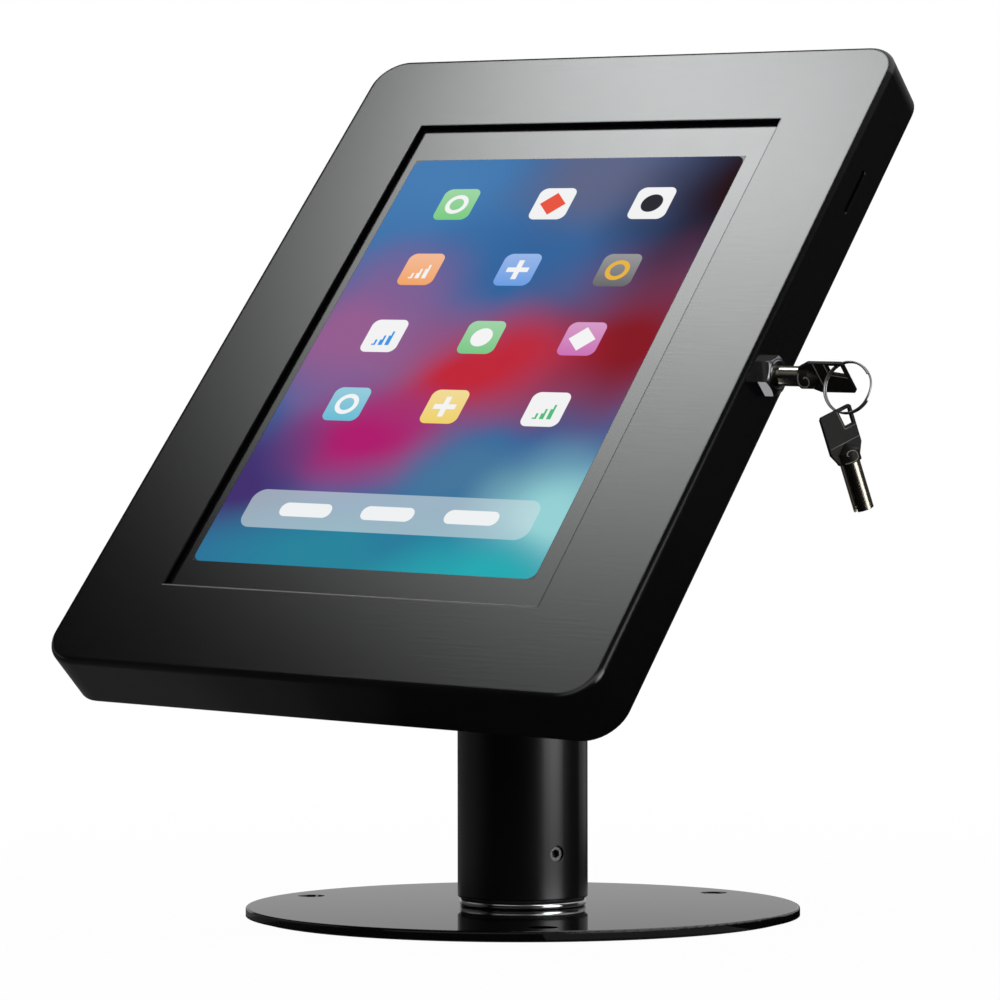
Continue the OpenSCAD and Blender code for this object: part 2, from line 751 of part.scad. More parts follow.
module tray_hinge_leaves() {
    leaf_end = 19;
    side = (hinge_l - knuckle_l) / 2 - free_gap;
    top = back_z - hinge_axis_z;
    color([0.12, 0.12, 0.125]) case_frame() at_hinges() difference() {
        union() {
            for (m = [0, 1]) mirror([0, m, 0]) translate([0, hinge_l / 2 - side, 0]) {
                along_hinge(0, side) circle(barrel_r);
                translate([leaf_root, 0, top - leaf_t]) cube([leaf_end - leaf_root, side, leaf_t]);
            }
            translate([barrel_r + free_gap, -hinge_l / 2, top - leaf_t])
                cube([leaf_end - barrel_r - free_gap, hinge_l, leaf_t]);
        }
        along_hinge(-hinge_l / 2 - eps, hinge_l + 2 * eps) circle(hinge_pin_d / 2 + thread_gap);
    }
}

module cover_hinge_leaves() {
    leaf_h = 14;
    x0 = -wall_in - hinge_x;
    color([0.12, 0.12, 0.125]) case_frame() at_hinges() difference() {
        union() {
            along_hinge(-knuckle_l / 2, knuckle_l) circle(barrel_r);
            translate([x0, -knuckle_l / 2, 0]) cube([leaf_t, knuckle_l, barrel_r + leaf_h]);
            translate([x0, -hinge_l / 2, back_z - hinge_axis_z + 0.5]) cube([leaf_t, hinge_l, leaf_h - 2]);
        }
        along_hinge(-knuckle_l / 2 - eps, knuckle_l + 2 * eps) circle(hinge_pin_d / 2 + run_gap);
    }
}

module hinge_pins() {
    color([0.5, 0.5, 0.52]) case_frame() at_hinges()
        along_hinge(-hinge_l / 2, hinge_l) circle(hinge_pin_d / 2);
}

// Tablet

module tablet_slab(from, t, inset) {
    translate([tablet_x, tablet_y, from]) linear_extrude(t)
        rounded_rect(tablet_w - 2 * inset, tablet_h - 2 * inset, tablet_r - inset);
}

module tablet_body() {
    body_t = tablet_t - glass_t;
    color([0.3, 0.3, 0.32]) case_frame() translate([tablet_x, tablet_y, tablet_back + body_t])
        mirror([0, 0, 1]) bent_slab(tablet_w, tablet_h, body_t, tablet_r, tablet_edge_r);
}

module tablet_glass() {
    color([0.04, 0.04, 0.045]) case_frame() difference() {
        tablet_slab(glass_z - glass_t, glass_t, glass_inset);
        translate([tablet_x, tablet_y, glass_z - glass_t - eps])
            linear_extrude(glass_t + 2 * eps) square([display_w, display_h], center = true);
    }
}

module tablet_display() {
    color([0.3, 0.35, 0.6]) case_frame() translate([tablet_x, tablet_y, glass_z - glass_t])
        linear_extrude(glass_t)
            square([display_w - 2 * thread_gap, display_h - 2 * thread_gap], center = true);
}

// Cover and lock

module front_cover() {
    wall_y = case_h / 2 - sheet_t;
    color([0.06, 0.06, 0.065]) case_frame() difference() {
        translate([0, 0, back_z]) bent_slab(case_w, case_h, case_d, corner_r, bend_r);
        translate([0, 0, back_z - eps])
            bent_slab(2 * wall_in, 2 * wall_y, case_d - sheet_t + eps, corner_r - sheet_t, bend_r - sheet_t);
        translate([-window_w / 2, -window_h / 2, sheet_in - eps])
            cube([window_w, window_h, sheet_t + 2 * eps]);
        translate([wall_in - eps, slot_y, lock_z]) rotate([90, 0, 90]) linear_extrude(sheet_t + 2 * eps) {
            square([slot_l - slot_w, slot_w], center = true);
            for (m = [-1, 1]) translate([m * (slot_l - slot_w) / 2, 0]) circle(slot_w / 2);
        }
        translate([wall_in - eps, lock_y, lock_z]) rotate([0, 90, 0])
            cylinder(d = lock_d + 4 * run_gap, h = sheet_t + 2 * eps);
    }
}

module window_seal() {
    inner = 1.5;
    outer = 3.2;
    color([0.08, 0.08, 0.08]) case_frame() translate([0, 0, sheet_in - seal_t])
        linear_extrude(seal_t) difference() {
            square([window_w + 2 * outer, window_h + 2 * outer], center = true);
            square([window_w + 2 * inner, window_h + 2 * inner], center = true);
        }
}

module lock_collar() {
    color([0.75, 0.75, 0.77]) lock_frame() difference() {
        intersection() {
            hexagon(collar_af, collar_h);
            cylinder(r1 = collar_af * 0.48 + collar_h * 1.4, r2 = collar_af * 0.48, h = collar_h);
        }
        translate([0, 0, -eps]) cylinder(d = lock_d + 2 * thread_gap, h = collar_h + 2 * eps);
    }
}

module lock_barrel() {
    chamfer = 0.4;
    color([0.7, 0.7, 0.72]) lock_frame() difference() {
        union() {
            translate([0, 0, lock_in]) cylinder(d = lock_d, h = barrel_l + collar_h);
            translate([0, 0, collar_h]) cylinder(d1 = lock_d, d2 = lock_d - 2 * chamfer, h = chamfer);
        }
        translate([0, 0, lock_in - eps])
            cylinder(d = core_d + 2 * run_gap, h = barrel_l + collar_h + chamfer + 2 * eps);
    }
}

module lock_nut() {
    color([0.65, 0.65, 0.67]) lock_frame() translate([0, 0, -sheet_t - lock_nut_t]) difference() {
        rotate([0, 0, 30]) hexagon(lock_nut_af, lock_nut_t);
        translate([0, 0, -eps]) cylinder(d = lock_d + 2 * thread_gap, h = lock_nut_t + 2 * eps);
    }
}

module lock_core() {
    color([0.7, 0.7, 0.72]) lock_frame() difference() {
        union() {
            translate([0, 0, core_end]) cylinder(d = core_d, h = collar_h - core_end);
            translate([0, 0, cam_z]) cylinder(r = tang_r, h = cam_t + eps);
        }
        translate([0, 0, key_z - free_gap])
            tube(key_d / 2 + keyway_gap, key_d / 2 - key_wall - keyway_gap, key_insert + 1);
        translate([0, 0, cam_z - eps]) cylinder(d = 3 + 2 * thread_gap, h = 8);
    }
}

module lock_cam() {
    color([0.6, 0.6, 0.62]) lock_frame() translate([0, 0, cam_z]) linear_extrude(cam_t) difference() {
        union() {
            circle(tang_r + 2.4);
            translate([0, -cam_w / 2]) square([cam_reach - 1, cam_w]);
            translate([0, 1 - cam_w / 2]) square([cam_reach, cam_w - 2]);
            for (m = [-1, 1]) translate([cam_reach - 1, m * (cam_w / 2 - 1)]) circle(1);
        }
        circle(tang_r + thread_gap);
    }
}

module cam_screw() {
    color([0.5, 0.5, 0.52]) lock_frame() translate([0, 0, cam_z - cam_screw_t]) {
        cylinder(r = tang_r + 1.5, h = cam_screw_t);
        cylinder(d = 3, h = cam_screw_t + 6);
    }
}

// Keys, each drawn from the tip of its tube, with the bow in the x and z directions

module tube_of_key() {
    notch = 1.4;
    difference() {
        tube(key_d / 2, key_d / 2 - key_wall, tube_l);
        translate([0, -notch / 2, -eps]) cube([key_d, notch, 2.5]);
    }
}

module bow_of_key() {
    neck = sleeve_r + 0.3;
    difference() {
        union() {
            rotate([90, 0, 0]) linear_extrude(bow_t, center = true) difference() {
                polygon([
                    [-neck, neck_z], [neck, neck_z], [bow_w / 2, bow_z],
                    [bow_w / 2, key_l - bow_chamfer], [bow_w / 2 - bow_chamfer, key_l],
                    [-bow_w / 2 + bow_chamfer, key_l], [-bow_w / 2, key_l - bow_chamfer], [-bow_w / 2, bow_z]
                ]);
                polygon([
                    [eye_x, eye_z], [eye_x + eye_w, eye_z], [eye_x + eye_low, eye_z - eye_l], [eye_x, eye_z - eye_l]
                ]);
            }
            translate([0, 0, neck_z]) cylinder(r = sleeve_r, h = neck_l - 1);
            translate([0, 0, bow_z - 1]) cylinder(r1 = sleeve_r, r2 = bow_t / 2, h = 3);
        }
        translate([0, 0, neck_z - eps]) cylinder(d = key_d + 2 * thread_gap, h = tube_l - neck_z + eps);
    }
}

module key_tube() {
    color([0.72, 0.7, 0.64]) key_frame() tube_of_key();
}

module key_bow() {
    color([0.1, 0.1, 0.1]) key_frame() bow_of_key();
}

module spare_key_tube() {
    color([0.72, 0.7, 0.64]) spare_key_frame() tube_of_key();
}

module spare_key_bow() {
    color([0.1, 0.1, 0.1]) spare_key_frame() bow_of_key();
}

// Split ring: one wire, two turns side by side, with a crossing between them

function smooth(t) = t <= 0 ? 0 : t >= 1 ? 1 : t * t * (3 - 2 * t);
function ring_rise(a) = wire_pitch * (smooth((a - cross_start) / cross_l) - 0.5);
function ring_point(a) = [ring_r * cos(a), ring_rise(a), ring_r * sin(a)];
function wire_rim(a) = [
    for (k = [0 : ring_sides - 1]) let (b = k * 360 / ring_sides, r = ring_r + wire_r * cos(b))
        [r * cos(a), ring_rise(a) + wire_r * sin(b), r * sin(a)]
];
ring_angles = [ring_start : ring_step : ring_end];
ring_gap = min([
    for (a = ring_angles, b = ring_angles) if (b - a > 180) norm(ring_point(a) - ring_point(b))
]) - wire_d;
echo(key_ring_least_gap = ring_gap);

module wire_along(rims) {
    n = len(rims[0]);
    last = len(rims) - 1;
    sides = [
        for (i = [0 : last - 1], k = [0 : n - 1]) let (a = i * n + k, b = i * n + (k + 1) % n)
            each [[a, b, b + n], [a, b + n, a + n]]
    ];
    caps = [for (k = [1 : n - 2]) each [[0, k + 1, k], [last * n, last * n + k, last * n + k + 1]]];
    polyhedron([for (rim = rims) each rim], concat(sides, caps));
}

module key_ring() {
    color([0.6, 0.6, 0.62]) ring_frame() wire_along([for (a = ring_angles) wire_rim(a)]);
}

base_plate();
base_pad();
base_hub();
hub_screws();
swivel_washer();
post_tube();
post_set_screw();
post_head();
post_head_screws();
tilt_bolt();
tilt_nut();
tilt_washers();
tilt_knuckle();
turn_washer();
stop_pin();
pivot_washer();
pivot_nut();
back_tray();
cable_grommet();
tablet_brackets();
bracket_screws();
foam_pads();
lock_catch();
tray_hinge_leaves();
hinge_pins();
tablet_body();
tablet_glass();
tablet_display();
front_cover();
window_seal();
cover_hinge_leaves();
lock_collar();
lock_barrel();
lock_nut();
lock_core();
lock_cam();
cam_screw();
key_tube();
key_bow();
key_ring();
spare_key_tube();
spare_key_bow();
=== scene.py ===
import math

import bpy
from mathutils import Matrix, Vector


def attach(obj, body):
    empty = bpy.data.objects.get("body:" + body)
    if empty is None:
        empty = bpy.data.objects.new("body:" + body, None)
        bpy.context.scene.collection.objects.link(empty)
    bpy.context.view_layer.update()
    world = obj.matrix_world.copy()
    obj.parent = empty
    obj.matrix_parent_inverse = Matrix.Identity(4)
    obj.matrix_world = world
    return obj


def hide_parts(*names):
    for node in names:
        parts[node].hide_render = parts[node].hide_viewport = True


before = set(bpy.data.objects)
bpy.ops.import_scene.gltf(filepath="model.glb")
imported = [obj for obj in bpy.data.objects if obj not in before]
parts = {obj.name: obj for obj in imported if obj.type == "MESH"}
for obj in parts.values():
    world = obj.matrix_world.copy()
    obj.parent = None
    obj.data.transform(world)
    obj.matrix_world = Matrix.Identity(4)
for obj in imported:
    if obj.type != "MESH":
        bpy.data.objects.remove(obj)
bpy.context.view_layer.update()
print("frame loaded with", len(parts), "solid parts")


# Where the case, the lock and the keys stand, in millimetres and degrees

standPlan = {
    "hingeHeight": 190.8,
    "faceLean": 40.4,
    "faceTurn": -3.3,
    "caseHalfWidth": 124.0,
    "lockRise": 33.2,
    "keyDepth": 3.2,
    "glassRise": 43.0,
    "screenAcross": -1.9,
    "screenUp": -2.1,
}

mm = 0.001


def shift(x, y, z):
    return Matrix.Translation((x * mm, y * mm, z * mm))


def turn(degrees, axis):
    return Matrix.Rotation(math.radians(degrees), 4, axis)


neckFrame = shift(0, 0, standPlan["hingeHeight"]) @ turn(90 - standPlan["faceLean"], "X")
caseFrame = neckFrame @ turn(standPlan["faceTurn"], "Z")
lockFrame = caseFrame @ shift(standPlan["caseHalfWidth"], 0, standPlan["lockRise"]) @ turn(90, "Y")
keyFrame = lockFrame @ shift(0, 0, -standPlan["keyDepth"])


# Mesh and node helpers

def newMaterial(name):
    material = bpy.data.materials.new(name)
    material.use_nodes = True
    return material, material.node_tree


def newMesh(name, verts, faces, material):
    mesh = bpy.data.meshes.new(name)
    mesh.from_pydata([tuple(v) for v in verts], [], faces)
    mesh.materials.append(material)
    made = bpy.data.objects.new(name, mesh)
    bpy.context.scene.collection.objects.link(made)
    return made


def newPiece(name, verts, faces, body, material):
    piece = newMesh(name, verts, faces, material)
    mesh = piece.data
    mesh.validate()
    mesh.update()
    mesh.polygons.foreach_set("use_smooth", [True] * len(mesh.polygons))
    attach(piece, body)
    return piece


beadSides = 8
# under this a bead runs nearly along Y, and its sides are taken from Z
beadLeastSide = 0.2


def beadAlong(verts, faces, points, radius):
    # a round bead that follows the points
    first = len(verts)
    last = len(points) - 1
    for i, point in enumerate(points):
        along = (points[min(i + 1, last)] - points[max(i - 1, 0)]).normalized()
        side = along.cross(Vector((0, 1, 0)))
        if side.length < beadLeastSide:
            side = along.cross(Vector((0, 0, 1)))
        side.normalize()
        other = side.cross(along)
        for k in range(beadSides):
            around = 2 * math.pi * k / beadSides
            verts.append(point + radius * (math.cos(around) * side + math.sin(around) * other))
    for i in range(last):
        for k in range(beadSides):
            a = first + i * beadSides + k
            b = first + i * beadSides + (k + 1) % beadSides
            faces.append((a, a + beadSides, b + beadSides, b))
    end = first + last * beadSides
    faces.append(tuple(range(first, first + beadSides)))
    faces.append(tuple(reversed(range(end, end + beadSides))))


def wayTo(azimuth, elevation):
    # unit vector towards a view angle: azimuth 0 is the front, and it grows to the right
    around = math.radians(azimuth)
    above = math.radians(elevation)
    flat = math.cos(above)
    return Vector((math.sin(around) * flat, -math.cos(around) * flat, math.sin(above)))


def addNode(tree, kind, x, y, **settings):
    made = tree.nodes.new("ShaderNode" + kind)
    made.location = (x, y)
    for key, value in settings.items():
        setattr(made, key, value)
    return made


def joinUp(tree, giver, taker):
    tree.links.new(giver, taker)


def newGroup(name, inputs, outputs):
    tree = bpy.data.node_groups.new(name, "ShaderNodeTree")
    for label, kind, default in inputs:
        socket = tree.interface.new_socket(name=label, in_out="INPUT", socket_type="NodeSocket" + kind)
        socket.default_value = default
    for label, kind in outputs:
        tree.interface.new_socket(name=label, in_out="OUTPUT", socket_type="NodeSocket" + kind)
    groupIn = tree.nodes.new("NodeGroupInput")
    groupIn.location = (-900, 0)
    groupOut = tree.nodes.new("NodeGroupOutput")
    groupOut.location = (900, 0)
    return tree, groupIn.outputs, groupOut.inputs


def placeGroup(tree, group, x, y, **values):
    made = addNode(tree, "Group", x, y, node_tree=group)
    for key, value in values.items():
        made.inputs[key].default_value = value
    return made


def feed(tree, value, socket):
    # a link where the value comes from another node, otherwise a fixed number or colour
    if isinstance(value, bpy.types.NodeSocket):
        joinUp(tree, value, socket)
    elif isinstance(value, (int, float)):
        socket.default_value = value
    else:
        socket.default_value = (*value, 1)


def mathNode(tree, operation, x, y, first, second=None, third=None, clamp=False):
    made = addNode(tree, "Math", x, y, operation=operation, use_clamp=clamp)
    for i, value in enumerate((first, second, third)):
        if value is not None:
            feed(tree, value, made.inputs[i])
    return made.outputs[0]


def blendColour(tree, x, y, factor, first, second):
    # a Mix node's names repeat, so its colour sockets are taken by place
    made = addNode(tree, "Mix", x, y, data_type="RGBA")
    for i, value in ((0, factor), (6, first), (7, second)):
        feed(tree, value, made.inputs[i])
    return made.outputs[2]


def mixShaders(tree, x, factor, first, second):
    made = addNode(tree, "MixShader", x, 0)
    for i, giver in enumerate((factor, first.outputs[0], second.outputs[0])):
        joinUp(tree, giver, made.inputs[i])
    return made.outputs[0]


def dotNode(tree, x, y, giver, way):
    # how far a vector reaches along a fixed direction
    made = addNode(tree, "VectorMath", x, y, operation="DOT_PRODUCT")
    joinUp(tree, giver, made.inputs[0])
    made.inputs[1].default_value = way
    return made.outputs["Value"]


def noiseNode(tree, x, y, vector, scale, detail):
    made = addNode(tree, "TexNoise", x, y)
    joinUp(tree, vector, made.inputs["Vector"])
    feed(tree, scale, made.inputs["Scale"])
    made.inputs["Detail"].default_value = detail
    return made


def softStep(tree, x, y, value, low, high, least=0.0):
    # least at low, 1 at high, smooth between; low may be the larger one
    made = addNode(tree, "MapRange", x, y, interpolation_type="SMOOTHSTEP")
    joinUp(tree, value, made.inputs["Value"])
    made.inputs["From Min"].default_value = low
    made.inputs["From Max"].default_value = high
    made.inputs["To Min"].default_value = least
    return made.outputs["Result"]


def spread(tree, x, y, value, low, high):
    # low at 0, high at 1
    made = addNode(tree, "MapRange", x, y)
    joinUp(tree, value, made.inputs["Value"])
    made.inputs["To Min"].default_value = low
    made.inputs["To Max"].default_value = high
    return made.outputs["Result"]


# Shared effects

effectPlan = {
    # streaks run along the case's width, and fine specks lie between them
    "streaks": 900.0,
    "stretch": 0.03,
    "streakDetail": 3,
    "streakShare": 0.55,
    "specks": 2600.0,
    "speckDetail": 2,
    "speckShare": 0.45,
    "cloudSize": 22.0,
    "cloudContrast": 0.5,
    "cloudDetail": 4,
    "cloudDistortion": 0.6,
    "edgeRadius": 0.0004,
    "edgeSamples": 4,
    "edgeGain": 4.0,
}


def makeRolledGrain(plan):
    tree, given, out = newGroup(
        "rolledGrain",
        [("Streaks", "Float", plan["streaks"]), ("Stretch", "Float", plan["stretch"]),
         ("Specks", "Float", plan["specks"])],
        [("Streak", "Float"), ("Grain", "Float")],
    )
    coords = addNode(tree, "TexCoord", -900, 260).outputs["Object"]
    across, upward, outward = [
        dotNode(tree, -700, 300 - 180 * k, coords, caseFrame.to_3x3().col[k]) for k in range(3)]
    packed = addNode(tree, "CombineXYZ", -340, 220)
    joinUp(tree, mathNode(tree, "MULTIPLY", -520, 300, across, given["Stretch"]), packed.inputs[0])
    joinUp(tree, upward, packed.inputs[1])
    joinUp(tree, outward, packed.inputs[2])
    streaks = noiseNode(tree, -140, 260, packed.outputs[0], given["Streaks"], plan["streakDetail"])
    specks = noiseNode(tree, -140, -60, coords, given["Specks"], plan["speckDetail"])
    streak = spread(tree, 100, 260, streaks.outputs["Fac"], 0, 1)
    speck = mathNode(tree, "MULTIPLY", 120, -60, specks.outputs["Fac"], plan["speckShare"])
    joinUp(tree, streak, out["Streak"])
    joinUp(tree, mathNode(tree, "MULTIPLY_ADD", 300, 60, streak, plan["streakShare"], speck), out["Grain"])
    return tree


def makeHandlingMarks(plan):
    # broad cloudy change of gloss, as hands and wiping leave on paint and glass
    tree, given, out = newGroup(
        "handlingMarks",
        [("Size", "Float", plan["cloudSize"]), ("Contrast", "Float", plan["cloudContrast"])],
        [("Cloud", "Float")],
    )
    coords = addNode(tree, "TexCoord", -900, 0).outputs["Object"]
    cloud = noiseNode(tree, -600, 0, coords, given["Size"], plan["cloudDetail"])
    cloud.inputs["Distortion"].default_value = plan["cloudDistortion"]
    centred = mathNode(tree, "SUBTRACT", -380, 0, cloud.outputs["Fac"], 0.5)
    scaled = mathNode(tree, "MULTIPLY_ADD", -180, 0, centred, given["Contrast"], 0.5, clamp=True)
    joinUp(tree, scaled, out["Cloud"])
    return tree


def makeEdgeRound(plan):
    # softened corners, and a mask of where they are
    tree, given, out = newGroup(
        "edgeRound",
        [("Radius", "Float", plan["edgeRadius"])],
        [("Normal", "Vector"), ("Edge", "Float")],
    )
    rounding = addNode(tree, "Bevel", -600, 100, samples=plan["edgeSamples"])
    joinUp(tree, given["Radius"], rounding.inputs["Radius"])
    here = addNode(tree, "NewGeometry", -600, -120)
    same = addNode(tree, "VectorMath", -360, 0, operation="DOT_PRODUCT")
    joinUp(tree, rounding.outputs[0], same.inputs[0])
    joinUp(tree, here.outputs["Normal"], same.inputs[1])
    away = mathNode(tree, "SUBTRACT", -160, 0, 1.0, same.outputs["Value"], clamp=True)
    joinUp(tree, rounding.outputs[0], out["Normal"])
    joinUp(tree, mathNode(tree, "MULTIPLY", 40, 0, away, plan["edgeGain"], clamp=True), out["Edge"])
    return tree


rolledGrain = makeRolledGrain(effectPlan)
handlingMarks = makeHandlingMarks(effectPlan)
edgeRound = makeEdgeRound(effectPlan)
print("shared effects made")


# Finishes: dark and light are the two ends of the colour, rough the two ends of the roughness,
# bump is in millimetres and edge in metres

finishPlan = {
    "caseBlack": {"dark": (0.0022, 0.0022, 0.0023), "light": (0.0055, 0.0055, 0.0058),
                  "rough": (0.15, 0.21), "ior": 1.6, "metal": 0, "streaks": 900, "stretch": 0.06,
                  "bump": 0.016, "edge": 0.0009},
    "trayBlack": {"dark": (0.018, 0.018, 0.019), "light": (0.036, 0.036, 0.038), "rough": (0.30, 0.42),
                  "ior": 1.5, "metal": 0, "streaks": 1500, "stretch": 1.0, "bump": 0.008, "edge": 0.0005},
    "satinBlack": {"dark": (0.0018, 0.0018, 0.0019), "light": (0.0045, 0.0045, 0.0048),
                   "rough": (0.26, 0.33), "ior": 1.6, "metal": 0, "streaks": 1500, "stretch": 1.0,
                   "bump": 0.004, "edge": 0.0004},
    "glossBlack": {"dark": (0.0025, 0.0025, 0.0027), "light": (0.0060, 0.0060, 0.0063),
                   "rough": (0.03, 0.07), "ior": 1.5, "metal": 0, "streaks": 300, "stretch": 1.0,
                   "bump": 0.0006, "edge": 0.0005},
    "rubber": {"dark": (0.008, 0.008, 0.008), "light": (0.020, 0.020, 0.020), "rough": (0.62, 0.80),
               "ior": 1.4, "metal": 0, "streaks": 1200, "stretch": 1.0, "bump": 0.10, "edge": 0.0003},
    "foam": {"dark": (0.010, 0.010, 0.011), "light": (0.045, 0.045, 0.047), "rough": (0.85, 1.0),
             "ior": 1.3, "metal": 0, "streaks": 1800, "stretch": 1.0, "bump": 0.5, "edge": 0.0004},
    "chrome": {"dark": (0.66, 0.67, 0.69), "light": (0.80, 0.81, 0.83), "rough": (0.13, 0.21),
               "ior": 1.5, "metal": 1, "streaks": 500, "stretch": 1.0, "bump": 0.002, "edge": 0.0002},
    "darkSteel": {"dark": (0.08, 0.08, 0.083), "light": (0.19, 0.19, 0.195), "rough": (0.30, 0.45),
                  "ior": 1.5, "metal": 1, "streaks": 1400, "stretch": 1.0, "bump": 0.03, "edge": 0.0003},
    "plainSteel": {"dark": (0.40, 0.40, 0.41), "light": (0.58, 0.58, 0.59), "rough": (0.24, 0.38),
                   "ior": 1.5, "metal": 1, "streaks": 1400, "stretch": 0.2, "bump": 0.02, "edge": 0.0002},
    "nylon": {"dark": (0.52, 0.51, 0.47), "light": (0.64, 0.63, 0.59), "rough": (0.38, 0.52),
              "ior": 1.52, "metal": 0, "streaks": 700, "stretch": 1.0, "bump": 0.02, "edge": 0.0002},
    "bracketPlastic": {"dark": (0.008, 0.008, 0.009), "light": (0.018, 0.018, 0.019),
                       "rough": (0.45, 0.60), "ior": 1.48, "metal": 0, "streaks": 2000, "stretch": 1.0,
                       "bump": 0.12, "edge": 0.0005},
    "tabletShell": {"dark": (0.15, 0.15, 0.16), "light": (0.20, 0.20, 0.21), "rough": (0.34, 0.42),
                    "ior": 1.5, "metal": 1, "streaks": 3000, "stretch": 1.0, "bump": 0.02, "edge": 0.0003},
    "tabletGlass": {"dark": (0.0020, 0.0019, 0.0023), "light": (0.0050, 0.0046, 0.0056),
                    "rough": (0.15, 0.20), "ior": 1.62, "metal": 0, "streaks": 60, "stretch": 1.0,
                    "bump": 0.0, "edge": 0.0003},
    "lockNickel": {"dark": (0.17, 0.175, 0.18), "light": (0.29, 0.295, 0.30), "rough": (0.16, 0.26),
                   "ior": 1.5, "metal": 1, "streaks": 2200, "stretch": 0.2, "bump": 0.01, "edge": 0.0003},
    "keyNickel": {"dark": (0.40, 0.365, 0.295), "light": (0.58, 0.535, 0.45), "rough": (0.18, 0.27),
                  "ior": 1.5, "metal": 1, "streaks": 2200, "stretch": 0.2, "bump": 0.01, "edge": 0.0002},
    "keyBlack": {"dark": (0.0045, 0.0040, 0.0032), "light": (0.011, 0.0098, 0.0080), "rough": (0.36, 0.48),
                 "ior": 1.3, "metal": 0, "streaks": 2600, "stretch": 1.0, "bump": 0.05, "edge": 0.0003},
    # pale grey of the bead that paints the highlight along the window's lower edge
    "paintedHighlightGrey": {"dark": (0.12, 0.12, 0.12), "light": (0.36, 0.36, 0.35), "rough": (0.30, 0.45),
                 "ior": 1.5, "metal": 0, "streaks": 600, "stretch": 0.2, "bump": 0.004, "edge": 0.0001},
    "keyLine": {"dark": (0.13, 0.12, 0.10), "light": (0.28, 0.26, 0.22), "rough": (0.36, 0.5),
                "ior": 1.5, "metal": 0.25, "streaks": 2600, "stretch": 1.0, "bump": 0.02, "edge": 0.0001},
    "ringNickel": {"dark": (0.34, 0.34, 0.33), "light": (0.52, 0.52, 0.50), "rough": (0.30, 0.44),
                   "ior": 1.5, "metal": 1, "streaks": 3000, "stretch": 0.3, "bump": 0.01, "edge": 0.0001},
}


# shares of grain, clouds and edges in the colour, and of streaks and clouds in the gloss
wearPlan = {
    "grainShade": 0.6,
    "cloudShade": 0.4,
    "edgeShade": 0.35,
    "streakGloss": 0.5,
    "cloudGloss": 0.5,
}


def makeFinish(name, plan, wear):
    material, tree = newMaterial(name)
    shader = tree.nodes["Principled BSDF"]
    shader.inputs["Metallic"].default_value = plan["metal"]
    shader.inputs["IOR"].default_value = plan["ior"]
    grain = placeGroup(tree, rolledGrain, -900, 200, Streaks=plan["streaks"], Stretch=plan["stretch"])
    cloud = placeGroup(tree, handlingMarks, -900, -60).outputs["Cloud"]
    rounding = placeGroup(tree, edgeRound, -900, -300, Radius=plan["edge"])
    shade = mathNode(tree, "MULTIPLY_ADD", -640, 260, grain.outputs["Grain"], wear["grainShade"],
                     mathNode(tree, "MULTIPLY", -760, 60, cloud, wear["cloudShade"]))
    worn = mathNode(tree, "MULTIPLY_ADD", -460, 260, rounding.outputs["Edge"], wear["edgeShade"], shade,
                    clamp=True)
    colour = blendColour(tree, -260, 260, worn, plan["dark"], plan["light"])
    joinUp(tree, colour, shader.inputs["Base Color"])
    gloss = mathNode(tree, "MULTIPLY_ADD", -640, 0, grain.outputs["Streak"], wear["streakGloss"],
                     mathNode(tree, "MULTIPLY", -760, -60, cloud, wear["cloudGloss"]))
    joinUp(tree, spread(tree, -260, 0, gloss, *plan["rough"]), shader.inputs["Roughness"])
    normal = rounding.outputs["Normal"]
    if plan["bump"] > 0:
        relief = addNode(tree, "Bump", -260, -300)
        relief.inputs["Strength"].default_value = 1
        relief.inputs["Distance"].default_value = plan["bump"] * mm
        joinUp(tree, grain.outputs["Grain"], relief.inputs["Height"])
        joinUp(tree, normal, relief.inputs["Normal"])
        normal = relief.outputs["Normal"]
    joinUp(tree, normal, shader.inputs["Normal"])
    return material


finishes = {name: makeFinish(name, plan, wearPlan) for name, plan in finishPlan.items()}
print("finishes made:", len(finishes))


# Screen picture: soft colour fields, and plain tiles with simple marks in three columns

